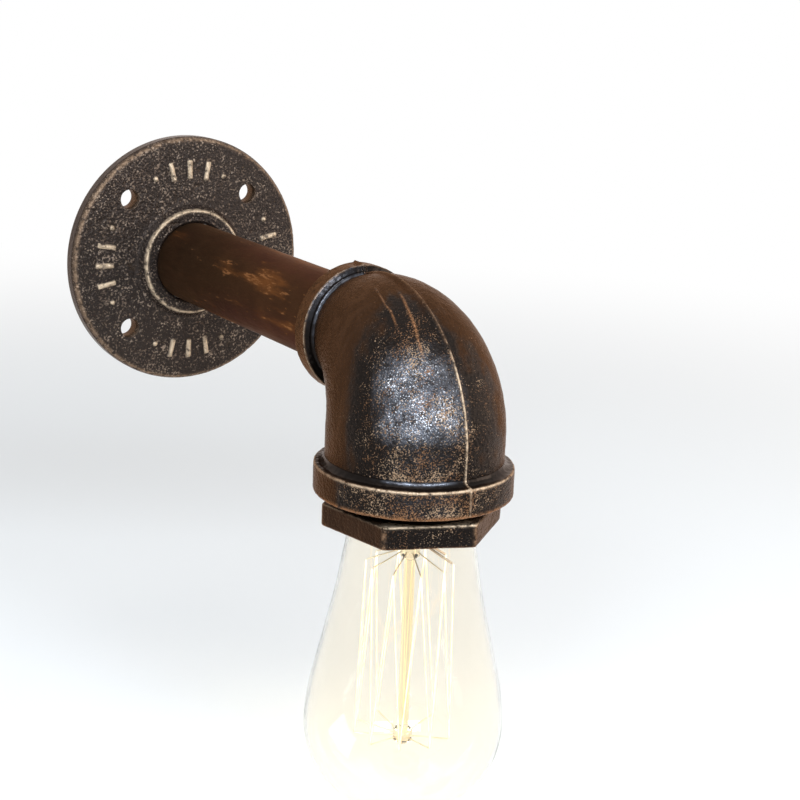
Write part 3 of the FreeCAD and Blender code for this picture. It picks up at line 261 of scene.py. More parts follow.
def grid_piece(name: str, grid: np.ndarray, closed: bool = True,
               poles: tuple[np.ndarray, np.ndarray] | None = None,
               marks: dict[str, np.ndarray] | None = None) -> bpy.types.Object:
    """Mesh of quads over a grid that wraps round its second axis.

    A face joins (i, j), (i, j+1), (i+1, j+1) and (i+1, j), with the indices taken round. The
    signed volume, a sixth of the sum of a . (b x c), then says whether to turn all faces round.

    Args:
        name: Name of the object.
        grid: Points in millimetres, rows by columns by three.
        closed: Whether the last row joins the first.
        poles: Two points that close the first and the last row, each with a fan.
        marks: Numbers between 0 and 1 for the material, each in the grid's shape.

    Returns:
        The new object, linked to the scene.
    """
    rows, columns = grid.shape[:2]
    index = np.arange(rows * columns).reshape(rows, columns)
    if closed:
        index = np.vstack((index, index[:1]))
    beside = np.roll(index, -1, axis=1)
    quads = np.stack((index[:-1], beside[:-1], beside[1:], index[1:]), axis=-1).reshape(-1, 4)
    points = grid.reshape(-1, 3)
    fans = np.zeros((0, 3), dtype=int)
    if poles is not None:
        points = np.vstack((points, poles[0], poles[1]))
        first = np.stack((beside[0], index[0], np.full(columns, rows * columns)), axis=-1)
        last = np.stack((index[-1], beside[-1], np.full(columns, rows * columns + 1)), axis=-1)
        fans = np.vstack((first, last))
    halves = np.vstack((quads[:, (0, 1, 2)], quads[:, (0, 2, 3)], fans))
    a, b, c = (points[halves[:, corner]] for corner in range(3))
    if np.einsum("ij,ij->i", a, np.cross(b, c)).sum() < 0:
        quads, fans = quads[:, ::-1], fans[:, ::-1]
    mesh = bpy.data.meshes.new(name)
    mesh.vertices.add(len(points))
    mesh.vertices.foreach_set("co", (points * MM).ravel())
    corners = np.concatenate((quads.ravel(), fans.ravel()))
    sizes = np.concatenate((np.full(len(quads), 4), np.full(len(fans), 3)))
    mesh.loops.add(len(corners))
    mesh.loops.foreach_set("vertex_index", corners)
    mesh.polygons.add(len(sizes))
    mesh.polygons.foreach_set("loop_start", np.concatenate(([0], np.cumsum(sizes)[:-1])))
    mesh.polygons.foreach_set("use_smooth", np.ones(len(sizes), dtype=bool))
    mesh.update(calc_edges=True)
    for label, values in (marks or {}).items():
        layer = mesh.attributes.new(label, "FLOAT", "POINT")
        padded = np.concatenate((values.ravel(), np.zeros(len(points) - values.size)))
        layer.data.foreach_set("value", padded.astype(np.float32))
    mesh.validate()
    piece = bpy.data.objects.new(name, mesh)
    bpy.context.scene.collection.objects.link(piece)
    return piece


def settle(piece: bpy.types.Object, body: Body, slot: Slot, finish: bpy.types.Material,
           *stands_for: str) -> None:
    """Gives a new piece its finish, its body and the CAD nodes that it stands for.

    Args:
        piece: The new object.
        body: Body that it moves with.
        slot: Record slot of its finish; not used.
        finish: Its material.
        stands_for: CAD nodes that it replaces.
    """
    piece.data.materials.append(finish)
    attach(piece, body.value)
    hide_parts(*stands_for)
    LOG.info("%s: %d faces on %s", piece.name, len(piece.data.polygons), body.value)


# --- finishes --------------------------------------------------------------------------------


@dataclass(frozen=True)
class Grain:
    """Noise of a finish: cells per metre, or those along each axis, and its finer octaves."""

    cells: float | Point
    octaves: float
    keep: float


class Tree:
    """Node tree with a short call that adds a node, sets it up and feeds its inputs."""

    def __init__(self, tree: bpy.types.NodeTree) -> None:
        """Takes over a node tree and empties it.

        Args:
            tree: Node tree of a material or of the world.
        """
        self.nodes = tree.nodes
        self.links = tree.links
        self.nodes.clear()

    def feed(self, socket: bpy.types.NodeSocket, item: object) -> None:
        """Links a socket to an output, or sets its value.

        Args:
            socket: Input socket.
            item: Output socket, number or colour.
        """
        if isinstance(item, bpy.types.NodeSocket):
            self.links.new(item, socket)
        elif isinstance(item, tuple) and socket.type == "RGBA":
            socket.default_value = (*item, 1.0)
        else:
            socket.default_value = item

    def add(self, kind: str, inputs: dict[str | int, object] | None = None,
            **settings: object) -> bpy.types.Node:
        """Adds a node.

        Args:
            kind: Its type, without the ShaderNode in front.
            inputs: What feeds its inputs, by their name or number.
            settings: Properties of the node itself.

        Returns:
            The new node.
        """
        node = self.nodes.new(f"ShaderNode{kind}")
        for label, value in settings.items():
            setattr(node, label, value)
        for label, item in (inputs or {}).items():
            self.feed(node.inputs[label], item)
        return node

    def maths(self, operation: str, first: object, second: object,
              clamp: bool = False) -> bpy.types.NodeSocket:
        """Math node on two values.

        Args:
            operation: Blender's name of the operation.
            first: Output socket or number.
            second: Output socket or number.
            clamp: Whether the result is kept between 0 and 1.

        Returns:
            Value output.
        """
        return self.add("Math", {0: first, 1: second}, operation=operation,
                        use_clamp=clamp).outputs["Value"]

    def seen(self) -> bpy.types.NodeSocket:
        """Share for what the camera sees, straight or by reflection or through glass.

        Returns:
            1 where a ray comes from the camera that way, and else 0.
        """
        path = self.add("LightPath").outputs
        share = self.maths("MAXIMUM", path["Is Camera Ray"], path["Is Glossy Ray"])
        return self.maths("MAXIMUM", share, path["Is Transmission Ray"])

    def between(self, share: object, first: bpy.types.NodeSocket,
                second: bpy.types.NodeSocket) -> bpy.types.NodeSocket:
        """Shader between two shaders: the first one at a share of 0, the second one at 1."""
        return self.add("MixShader", {"Fac": share, 1: first, 2: second}).outputs["Shader"]


class Recipe(Tree):
    """Node tree of one material, with short calls for the patterns that the finishes use."""

    def __init__(self, name: str) -> None:
        """Starts a material with one Principled shader.

        Args:
            name: Name of the material.
        """
        self.material = bpy.data.materials.new(name)
        self.material.use_nodes = True
        super().__init__(self.material.node_tree)
        self.shader = self.add("BsdfPrincipled")
        self.output = self.add("OutputMaterial", {"Surface": self.shader.outputs["BSDF"]})
        self.place = self.add("TexCoord").outputs["Object"]

    def set(self, **items: object) -> None:
        """Feeds the Principled shader's inputs.

        Args:
            items: What feeds each input, by its name with underscores for spaces.
        """
        for label, item in items.items():
            name = label.replace("_", " ").title().replace("Ior", "IOR")
            self.feed(self.shader.inputs[name], item)

    def cover(self, share: object, other: bpy.types.NodeSocket) -> None:
        """Shows another shader over the Principled one, as far as the share says."""
        mixed = self.between(share, self.shader.outputs["BSDF"], other)
        self.feed(self.output.inputs["Surface"], mixed)

    def stretched(self, scale: Point) -> bpy.types.NodeSocket:
        """Object coordinates multiplied by a scale along each axis."""
        return self.add("Mapping", {"Scale": scale, "Vector": self.place}).outputs["Vector"]

    def noise(self, grain: Grain) -> bpy.types.NodeSocket:
        """Noise factor between 0 and 1.

        Args:
            grain: Its cells and octaves.

        Returns:
            Factor output.
        """
        scale, place = grain.cells, self.place
        if isinstance(scale, tuple):
            scale, place = 1.0, self.stretched(scale)
        return self.add("TexNoise", {"Scale": scale, "Detail": grain.octaves,
                                     "Roughness": grain.keep, "Vector": place}).outputs["Fac"]

    def dots(self, cells: float) -> bpy.types.NodeSocket:
        """Distance to the nearest of randomly placed points, at cells per metre."""
        return self.add("TexVoronoi", {"Scale": cells, "Vector": self.place}).outputs["Distance"]

    def bands(self, scale: float,
              place: bpy.types.NodeSocket | None = None) -> bpy.types.NodeSocket:
        """Sine bands square to the space diagonal of the object's or the given coordinates."""
        return self.add("TexWave", {"Scale": scale, "Vector": place or self.place},
                        bands_direction="DIAGONAL").outputs["Fac"]

    def mark(self, name: str) -> bpy.types.NodeSocket:
        """Number that the piece's mesh carries under a name."""
        return self.add("Attribute", attribute_name=name).outputs["Fac"]

    def more(self, value: object, added: bpy.types.NodeSocket, share: float,
             lift: float = 0.0) -> bpy.types.NodeSocket:
        """Value plus a share of another one plus a fixed lift."""
        start = self.maths("ADD", value, lift) if lift else value
        return self.add("Math", {0: added, 1: share, 2: start},
                        operation="MULTIPLY_ADD").outputs["Value"]

    def stir(self, value: object, noise: bpy.types.NodeSocket,
             share: float) -> bpy.types.NodeSocket:
        """Value plus a share of a noise, counted from the noise's middle of one half."""
        return self.more(value, noise, share, -share / 2)

    def step(self, value: bpy.types.NodeSocket, span: Span,
             ends: Span = (0.0, 1.0)) -> bpy.types.NodeSocket:
        """Smooth step of a value over a span, from one end value to the other."""
        return self.add("MapRange", {"Value": value, "From Min": span[0], "From Max": span[1],
                                     "To Min": ends[0], "To Max": ends[1]},
                        interpolation_type="SMOOTHSTEP").outputs["Result"]

    def blend(self, share: object, first: object, second: object) -> bpy.types.NodeSocket:
        """Colour between two colours: the first one at a share of 0, the second one at 1."""
        return self.add("Mix", {"Factor": share, 6: first, 7: second},
                        data_type="RGBA").outputs[2]

    def relief(self, height: bpy.types.NodeSocket, depth: float, strength: float) -> None:
        """Bump on the shader: height times depth in metres.

        Args:
            height: Height factor.
            depth: Depth of a full step in metres.
            strength: Share of the bump that is used.
        """
        bump = self.add("Bump", {"Distance": depth, "Strength": strength, "Height": height})
        self.feed(self.shader.inputs["Normal"], bump.outputs["Normal"])


@dataclass(frozen=True)
class RubbedCasting:
    """Black-brown lacquer over a grainy casting, rubbed back to bronze on its high spots, with
    painted highlights, painted sheen and painted shade where the mesh marks them.
    """

    name: str
    black: Colour = (0.0045, 0.0040, 0.0038)
    brown: Colour = (0.039, 0.0195, 0.0108)
    # Painted highlight colours: a blue-grey sheen and bright specks standing in for the window
    # lamp's reflection.
    painted_sheen_colour: Colour = (0.120, 0.128, 0.150)
    painted_glint_colour: Colour = (0.72, 0.72, 0.75)
    gold: Colour = (0.30, 0.20, 0.125)
    copper: Colour = (0.16, 0.080, 0.039)
    edge_gold: Colour = (0.62, 0.47, 0.325)
    edge_copper: Colour = (0.30, 0.135, 0.058)
    tint: Colour = (0.76, 0.56, 0.46)
    dust: Colour = (0.45, 0.22, 0.11)
    speck_size: float = 0.42
    speck_level: float = 0.60
    softness: float = 0.11
    brown_gain: float = 1.55
    clumps: Grain = Grain(300.0, 3.0, 0.65)
    clouds: Grain = Grain(85.0, 2.0, 0.5)
    streaks: Grain = Grain((260.0, 260.0, 70.0), 4.0, 0.65)
    # Patches and bright specks of the painted sheen.
    painted_sheen_patches: Grain = Grain(430.0, 3.0, 0.7)
    painted_glint_grain: Grain = Grain(2600.0, 1.0, 0.5)
    tones: Grain = Grain(140.0, 3.0, 0.6)
    chips: Grain = Grain(520.0, 3.0, 0.65)
    pimples: Grain = Grain(1500.0, 2.0, 0.6)
    peel_cells: float = 1000.0
    peel_depth: float = 0.00024
    metallic: Span = (0.88, 0.45)
    roughness: Span = (0.27, 0.46)

    def material(self) -> bpy.types.Material:
        """Fine bronze specks in clumps, denser where the mesh's rubbed-and-lit mark is high.

        Unmarked skin is satin brown, and the brown left on the elbow's sides is partly a painted
        warm reflection. Skin under the rubbed-and-lit mark is black between its specks: real on the
        flange, partly painted light on the lit front left of the elbow and bushing. Skin under the
        painted highlight mark takes a blue-grey sheen and small bright specks, a painted reflection
        of the window lamp, and skin under the painted shade mark is black and smooth. The edges
        that the mesh marks are rubbed to pale gold or to copper, partly as a painted highlight on
        the lit front.

        Returns:
            The finished material.
        """
        mix = Recipe(self.name)
        wear_and_lit_side, rub_and_highlight, tan, painted_shade, painted_highlight = map(mix.mark, ("wear_and_lit_side", "rub_and_highlight", "tan", "painted_shade", "painted_highlight"))
        # Share without painted shade: skin marked as shade gets no bronze specks and little relief.
        unshaded = mix.maths("SUBTRACT", 1.0, painted_shade, clamp=True)
        level = mix.noise(Grain(METRE / self.speck_size, 2.0, 0.6))
        level = mix.stir(level, mix.noise(self.clumps), 0.34)
        level = mix.stir(level, mix.noise(self.clouds), 0.20)
        level = mix.more(level, wear_and_lit_side, 0.22, -0.135)
        specks = mix.step(level, (self.speck_level, self.speck_level + self.softness))
        specks = mix.maths("MULTIPLY", specks, unshaded)
        streak = mix.noise(self.streaks)
        # Black between the specks where the mesh marks rubbed-back skin, and the lit front left as
        # painted light.
        worn_and_lit = mix.step(mix.stir(wear_and_lit_side, streak, 0.8), (0.12, 0.48))
        # Painted highlight: a blue-grey sheen in patches and bright specks where the mesh marks the
        # window lamp's reflection.
        painted_sheen_patches = mix.more(0.30, mix.step(mix.noise(self.painted_sheen_patches), (0.38, 0.58)), 0.70)
        painted_sheen = mix.maths("MULTIPLY", painted_highlight, painted_sheen_patches, clamp=True)
        painted_sparkle = mix.step(mix.more(mix.noise(self.painted_glint_grain), painted_highlight, 0.16, -0.16), (0.53, 0.60))
        painted_sparkle = mix.maths("MULTIPLY", mix.maths("MULTIPLY", painted_sparkle, painted_highlight), unshaded)
        bronze = mix.blend(mix.step(mix.noise(self.tones), (0.40, 0.60)), self.copper, self.gold)
        ragged = mix.step(mix.noise(self.chips), (0.30, 0.56))
        copper_edge, gold_edge = (mix.maths("MULTIPLY", edge, ragged, clamp=True)
                                  for edge in (tan, rub_and_highlight))
        # Brown base, lighter in streaks. Where the lit-side mark leaves it, on the elbow's sides,
        # the brown is partly a painted warm reflection; then come black, painted shade, painted
        # sheen, bright specks, bronze specks and the rubbed edges.
        colour = mix.blend(mix.step(streak, (0.40, 0.68)), self.brown,
                           tuple(self.brown_gain * value for value in self.brown))
        for share, coat in ((worn_and_lit, self.black), (painted_shade, self.black), (painted_sheen, self.painted_sheen_colour),
                            (painted_sparkle, self.painted_glint_colour), (specks, bronze),
                            (copper_edge, self.edge_copper), (gold_edge, self.edge_gold)):
            colour = mix.blend(share, colour, coat)
        dull = mix.maths("MAXIMUM", worn_and_lit, painted_shade)
        rough = mix.step(mix.maths("MAXIMUM", specks, gold_edge), (0.0, 1.0), self.roughness)
        mix.set(base_color=colour, metallic=mix.step(dull, (0.0, 1.0), self.metallic),
                roughness=mix.more(rough, painted_shade, -0.09), specular_ior_level=0.22,
                specular_tint=self.tint, sheen_weight=0.04, sheen_roughness=0.5,
                sheen_tint=self.dust)
        peel = mix.more(mix.dots(self.peel_cells), mix.noise(self.pimples), 1.7)
        peel = mix.maths("MULTIPLY", peel, mix.more(0.12, unshaded, 0.88))
        mix.relief(peel, self.peel_depth, 0.9)
        return mix.material


@dataclass(frozen=True)
class RubbedPipe:
    """Satin brown-black pipe with copper rubbed through in streaks along its length."""

    name: str
    dark: Colour = (0.033, 0.0170, 0.0088)
    brown: Colour = (0.056, 0.0270, 0.0135)
    copper: Colour = (0.16, 0.060, 0.020)
    thin_copper: Colour = (0.28, 0.125, 0.052)
    tint: Colour = (0.55, 0.38, 0.30)
    dust: Colour = (0.5, 0.28, 0.15)
    patches: Grain = Grain(40.0, 3.0, 0.6)
    clouds: Grain = Grain((105.0, 19.0, 105.0), 3.0, 0.55)
    scratches: Grain = Grain((720.0, 120.0, 720.0), 4.0, 0.7)

    def material(self) -> bpy.types.Material:
        """Soft copper clouds and thin scratches, both drawn out along the pipe, over two browns.

        Returns:
            The finished material.
        """
        mix = Recipe(self.name)
        cloud, thin = mix.noise(self.clouds), mix.noise(self.scratches)
        colour = mix.blend(mix.step(mix.noise(self.patches), (0.34, 0.66)), self.dark, self.brown)
        soft = mix.step(mix.stir(cloud, thin, 0.30), (0.53, 0.72))
        sharp = mix.step(mix.stir(thin, cloud, 0.55), (0.635, 0.70))
        for share, most, coat in ((soft, 0.85, self.copper), (sharp, 0.8, self.thin_copper)):
            colour = mix.blend(mix.maths("MULTIPLY", share, most), colour, coat)
        mix.set(base_color=colour, metallic=0.85, specular_ior_level=0.2,
                roughness=mix.step(thin, (0.3, 0.7), (0.38, 0.50)), specular_tint=self.tint,
                sheen_weight=0.06, sheen_roughness=0.5, sheen_tint=self.dust)
        mix.relief(thin, 0.00007, 0.8)
        return mix.material


@dataclass(frozen=True)
class Metal:
    """Bright or dull sheet metal, with a fine drawn grain and a little tarnish."""

    name: str
    colour: Colour
    tarnish: Colour
    roughness: float = 0.3
    patches: Grain = Grain(130.0, 4.0, 0.6)
    lines: Grain = Grain((150.0, 150.0, 1800.0), 2.0, 0.5)

    def material(self) -> bpy.types.Material:
        """Tarnish in soft patches, and grain that runs round the head's upright axis.

        Returns:
            The finished material.
        """
        mix = Recipe(self.name)
        patch, lines = mix.step(mix.noise(self.patches), (0.4, 0.72)), mix.noise(self.lines)
        mix.set(base_color=mix.blend(patch, self.colour, self.tarnish), metallic=1.0,
                roughness=mix.step(lines, (0.2, 0.8),
                                   (self.roughness - 0.07, self.roughness + 0.1)))
        mix.relief(lines, 0.00002, 0.7)
        return mix.material


@dataclass(frozen=True)
class Moulded:
    """Dielectric skin, such as porcelain, rubber, insulation or cement.

    The size is a pimple's in millimetres, and the depth is its depth in metres.
    """

    name: str
    colour: Colour
    shade: Colour
    roughness: float
    size: float
    depth: float
    coat: float = 0.0
    stripe: Colour | None = None

    def material(self) -> bpy.types.Material:
        """Two close tones and a fine relief, with a second colour in stripes where there is one.

        Returns:
            The finished material.
        """
        mix = Recipe(self.name)
        tone, fine = (mix.noise(Grain(METRE / size, 3.0, 0.6))
                      for size in (6.0 * self.size, self.size))
        colour = mix.blend(mix.step(tone, (0.35, 0.7)), self.colour, self.shade)
        if self.stripe is not None:
            colour = mix.blend(mix.step(mix.bands(140.0), (0.45, 0.55)), colour, self.stripe)
        mix.set(base_color=colour, coat_weight=self.coat, coat_roughness=0.06,
                roughness=mix.step(fine, (0.3, 0.7),
                                   (self.roughness - 0.05, self.roughness + 0.05)))
        mix.relief(fine, self.depth, 0.8)
        return mix.material


@dataclass(frozen=True)
class Sleeving:
    """Glass-fibre sleeving: two crossed sets of fine threads."""

    name: str
    colour: Colour = (0.78, 0.74, 0.64)
    gap: Colour = (0.42, 0.38, 0.30)
    threads: float = 420.0

    def material(self) -> bpy.types.Material:
        """Product of two slanted band patterns.

        Returns:
            The finished material.
        """
        mix = Recipe(self.name)
        crossed = mix.bands(self.threads, mix.stretched((1.0, -1.0, 1.0)))
        weave = mix.maths("MULTIPLY", mix.bands(self.threads), crossed)
        mix.set(base_color=mix.blend(mix.step(weave, (0.05, 0.5)), self.gap, self.colour),
                roughness=0.8)
        mix.relief(weave, 0.0002, 0.9)
        return mix.material


@dataclass(frozen=True)
class ClearGlass:
    """Clear glass of the lamp, with a warm tint and faint waves in its surface."""

    name: str
    tint: Colour = (1.0, 0.965, 0.895)
    wave_depth: float = 0.0002
    waves: Grain = Grain(70.0, 2.0, 0.5)

    def material(self) -> bpy.types.Material:
        """Refracting glass that lets lamp light through in a shadow ray.

        Returns:
            The finished material.
        """
        mix = Recipe(self.name)
        mix.set(base_color=self.tint, transmission_weight=1.0, roughness=0.015, ior=1.46)
        mix.relief(mix.noise(self.waves), self.wave_depth, 0.35)
        clear = mix.add("BsdfTransparent", {"Color": self.tint})
        mix.cover(mix.add("LightPath").outputs["Is Shadow Ray"], clear.outputs["BSDF"])
        return mix.material


@dataclass(frozen=True)
class GlowingWire:
    """Filament wire that glows pale gold, a little unevenly along its length.

    It grows hot over a span of heights in metres.
    """

    name: str
    metal: Colour = (0.92, 0.78, 0.5)
    hot: Colour = (1.0, 0.97, 0.90)
    glow: Colour = (1.0, 0.80, 0.42)
    dull: Colour = (0.95, 0.56, 0.20)
    hot_heights: Span = (-0.0685, -0.0635)
    strength: float = 0.9
    unevenness: Grain = Grain(210.0, 3.0, 0.65)

    def material(self) -> bpy.types.Material:
        """Gold light, whiter at the upper hooks and duller in places along the wire.

        Returns:
            The finished material.
        """
        mix = Recipe(self.name)
        height = mix.add("SeparateXYZ", {"Vector": mix.place}).outputs["Z"]
        colour = mix.blend(mix.step(mix.noise(self.unevenness), (0.36, 0.62)), self.dull,
                           self.glow)
        colour = mix.blend(mix.step(height, self.hot_heights), colour, self.hot)
        mix.set(base_color=self.metal, metallic=0.6, roughness=0.35, emission_color=colour,
                emission_strength=self.strength)
        return mix.material


def finishes() -> dict[str, bpy.types.Material]:
    """Material for every slot of the record, and for the pieces that have one of their own.

    Returns:
        Materials by name.
    """
    insulation = {"roughness": 0.42, "size": 0.6, "depth": 0.00004}
    glaze = {"size": 2.0, "depth": 0.00005}
    plain = (
        RubbedCasting("cast_bronze"),
        RubbedCasting("flange_casting", black=(0.021, 0.0165, 0.0145), brown=(0.054, 0.037, 0.026),
                      gold=(0.26, 0.195, 0.148), copper=(0.120, 0.085, 0.063), speck_size=0.75,
                      speck_level=0.53, softness=0.2),
        RubbedPipe("pipe_bronze"),
        Metal("brass", (0.80, 0.58, 0.26), (0.52, 0.34, 0.14)),
        Metal("cap_brass", (0.86, 0.70, 0.42), (0.62, 0.46, 0.24), roughness=0.26),
        Metal("tinned_copper", (0.80, 0.78, 0.74), (0.60, 0.50, 0.40), roughness=0.28),
        Metal("spring_steel", (0.12, 0.12, 0.13), (0.05, 0.045, 0.04), roughness=0.4),
        Metal("anchor_wire", (0.90, 0.80, 0.58), (0.78, 0.62, 0.38), roughness=0.4),
        Metal("lead_wire", (0.50, 0.40, 0.30), (0.30, 0.20, 0.13), roughness=0.4),
        Moulded("black_rubber", (0.022, 0.022, 0.023), (0.035, 0.034, 0.033), roughness=0.6,
                size=0.5, depth=0.00008),
        Moulded("earth_insulation", (0.12, 0.30, 0.05), (0.10, 0.26, 0.04),
                stripe=(0.75, 0.62, 0.05), **insulation),
        Moulded("live_insulation", (0.16, 0.07, 0.03), (0.13, 0.055, 0.024), **insulation),
        Moulded("neutral_insulation", (0.03, 0.11, 0.38), (0.025, 0.09, 0.32), **insulation),
        Moulded("porcelain", (0.86, 0.83, 0.76), (0.80, 0.77, 0.69), roughness=0.22, coat=0.6,
                **glaze),
        Moulded("black_glass", (0.015, 0.012, 0.020), (0.03, 0.02, 0.035), roughness=0.15,
                coat=0.8, **glaze),
        Moulded("cement", (0.55, 0.44, 0.31), (0.42, 0.33, 0.23), roughness=0.85, size=0.4,
                depth=0.00015),
        Sleeving("sleeving"),
        ClearGlass("clear_glass"),
        ClearGlass("stem_glass", tint=(1.0, 0.87, 0.62), wave_depth=0.0001),
        GlowingWire("filament"),
    )
    return {finish.name: finish.material() for finish in plain}


# --- wall side -------------------------------------------------------------------------------


@dataclass
class Flange:
    """Cast floor flange: a disc with a low hub, a wiring recess, bolt holes and raised marks."""

    radius: float = 41.9
    edge: float = 6.0
    edge_round: float = 2.0
    back_round: float = 0.4
    foot_radius: float = 19.4
    foot_height: float = 7.2
    hub_radius: float = 17.8
    hub_height: float = 10.5
    hub_round: float = 0.6
    bore: float = 13.4
    bore_chamfer: float = 0.5
    recess_radius: float = 26.0
    recess_depth: float = 4.0
    mark_circle: float = 31.0
    mark_length: float = 6.5
    mark_width: float = 1.8
    mark_height: float = 0.88
    mark_step: float = 12.0
    bar_bevel: float = 0.55
    pip_bevel: float = 0.7
    bolt_circle: float = 31.0
    bolt_radius: float = 3.25
    bolt_reach: float = 12.0
    earth_height: float = 15.8
    earth_radius: float = 1.5
    earth_depth: float = 5.4
    drill_lead: float = 1.0
    grain: Layers = ((0.5, 1.15, 3), (0.3, 2.6, 4))
    grain_depth: float = 0.13
    grain_rise: float = 0.8
    pits: Layers = ((1.0, 1.7, 8),)
    pit_depth: float = 0.16
    fine_step: float = 0.36
    coarse_step: float = 1.4
    sides: int = 560

    def profile(self) -> np.ndarray:
        """Closed outline, finely divided where it shows.

        Returns:
            Rows of (radius, height off the wall).
        """
        rim = corner_arc((self.radius - self.edge_round, self.edge - self.edge_round),
                         self.edge_round, 0, 86, 9)
        crown = corner_arc((self.hub_radius - self.hub_round, self.hub_height - self.hub_round),
                           self.hub_round, 10, 90, 6)
        rows = np.vstack((
            (self.bore, self.recess_depth), (self.recess_radius, self.recess_depth),
            (self.recess_radius, 0.0), (self.radius - self.back_round, 0.0),
            (self.radius, self.back_round), rim,
            (self.foot_radius + 0.9, self.foot_height - 0.02),
            (self.foot_radius, self.foot_height + 0.25), crown,
            (self.bore + self.bore_chamfer, self.hub_height),
            (self.bore, self.hub_height - self.bore_chamfer),
        ))
        off_back = (rows[:-1, 1] > 1.0) | (rows[1:, 1] > 1.0)
        off_back[0] = False
        return spaced(rows, np.where(off_back, self.fine_step, self.coarse_step))

    def marks(self, radii: np.ndarray, angles: np.ndarray) -> np.ndarray:
        """Height share of the raised bars and pips, repeated at each quarter turn.

        A bar is the product of two smooth steps in from its long and short sides, and a pip is
        one smooth step in from its circle.

        Args:
            radii: Distance from the axis.
            angles: Angle round the axis in radians.

        Returns:
            Shares between 0 and 1.
        """
        turn = folded(angles, FULL_TURN / 4)
        half_length, half_width = self.mark_length / 2, self.mark_width / 2
        share = np.zeros_like(radii)
        for place in range(-2, 3):
            off = turn - math.radians(place * self.mark_step)
            across, along = radii * np.sin(off), radii * np.cos(off) - self.mark_circle
            if abs(place) == 2:
                mark = smooth(half_width, half_width - self.pip_bevel, np.hypot(across, along))
            else:
                mark = smooth(half_width, half_width - self.bar_bevel, np.abs(across)) \
                    * smooth(half_length, half_length - self.bar_bevel, np.abs(along))
            share = np.maximum(share, mark)
        return share

    def build(self, finish: bpy.types.Material) -> None:
        """Turned casting with its grain, marks, bolt holes and earth hole.

        Args:
            finish: Material of the casting.
        """
        grid = turned(self.profile(), self.sides)
        radii = np.hypot(grid[..., 0], grid[..., 1])
        angles = np.arctan2(grid[..., 1], grid[..., 0])
        front = (grid[..., 2] > self.edge - self.edge_round) & (radii > self.bore + 0.6)
        raised = self.marks(radii, angles) * (front & (radii > self.foot_radius + 1))
        pits = smooth(0.45, 0.9, layered(grid, self.pits))
        sunk = self.grain_depth * (layered(grid, self.grain) + self.grain_rise)
        sunk = (sunk + self.pit_depth * pits) * front * (1 - 0.6 * raised)
        grid = grid - outward(grid) * sunk[..., None]
        grid[..., 2] += raised * self.mark_height
        slope = raised * (1 - raised) * 4
        hub_edge = ridge(radii - self.hub_radius + 0.2, 0.45) * (
            grid[..., 2] > self.hub_height - 1.2)
        rim_edge = ridge(radii - self.radius + 0.7, 0.6) * front
        rub_and_highlight = 0.90 * hub_edge + 0.16 * rim_edge + 0.6 * slope + 0.72 * raised
        # Painted shade darkens the pits on the front face, and the back, the lower rim and the
        # bore.
        piece = grid_piece("flange_casting", off_wall(grid), marks={
            "wear_and_lit_side": 0.62 + 0.35 * raised - 0.3 * pits, "rub_and_highlight": np.clip(rub_and_highlight, 0, 1),
            "tan": 0.22 * rim_edge, "painted_shade": np.where(front, 0.35 * pits * (1 - raised), 0.8)})
        self.drill(piece)
        settle(piece, Body.WALL, Slot.CAST, finish, "floor_flange")

    def drill(self, piece: bpy.types.Object) -> None:
        """Cuts the four bolt holes and the blind earth hole.

        Args:
            piece: The flange.
        """
        holes = [(self.bolt_circle * math.cos(angle), self.bolt_circle * math.sin(angle),
                  self.bolt_radius, self.bolt_reach)
                 for angle in map(math.radians, (45, 135, 225, 315))]
        holes.append((0.0, self.earth_height, self.earth_radius,
                      self.recess_depth + self.earth_depth))
        rods = []
        for index, (across, up, radius, reach) in enumerate(holes):
            rim = turned(np.array([(radius, -self.drill_lead), (radius, reach)]), 48)
            ends = (np.array([across, self.drill_lead, up]), np.array([across, -reach, up]))
            rods.append(grid_piece(f"drill_{index}", off_wall(rim) + (across, 0.0, up),
                                   closed=False, poles=ends))
        bpy.context.view_layer.update()
        for rod in rods:
            hole = piece.modifiers.new("hole", "BOOLEAN")
            hole.operation = "DIFFERENCE"
            hole.solver = "EXACT"
            hole.object = rod
        done = piece.evaluated_get(bpy.context.evaluated_depsgraph_get())
        bored = bpy.data.meshes.new_from_object(done)
        piece.modifiers.clear()
        piece.data = bored
        for rod in rods:
            bpy.data.objects.remove(rod)


@dataclass
class Arm:
    """Level pipe between the flange and the elbow."""

    radius: float = 13.35
    bore: float = 10.45
    rear: float = 4.5
    front: float = 129.05
    chamfer: float = 0.4
    waves: Layers = ((0.6, 9.0, 11), (0.4, 2.2, 12))
    wave_depth: float = 0.07
    run_steps: tuple[float, ...] = (3.0, 1.0, 0.6, 1.0, 3.0, 6.0)
    sides: int = 220

    def build(self, finish: bpy.types.Material) -> None:
        """Drawn pipe whose skin waves by a few hundredths of a millimetre.

        Args:
            finish: Material of the pipe.
        """
        shoulder = self.radius - self.chamfer
        rows = np.array([(self.bore, self.rear), (shoulder, self.rear),
                         (self.radius, self.rear + self.chamfer),
                         (self.radius, self.front - self.chamfer),
                         (shoulder, self.front), (self.bore, self.front)])
        loop = spaced(np.vstack((rows, rows[:1])), np.array(self.run_steps))[:-1]
        grid = turned(loop, self.sides)
        outside = np.hypot(grid[..., 0], grid[..., 1]) > self.radius - 0.01
        waves = 0.5 + 0.5 * layered(grid, self.waves)
        grid[..., :2] *= (1 - outside * self.wave_depth * waves / self.radius)[..., None]
        piece = grid_piece("arm_tube", off_wall(grid))
        settle(piece, Body.WALL, Slot.PIPE, finish, "arm_pipe")


# --- elbow and bushing -----------------------------------------------------------------------


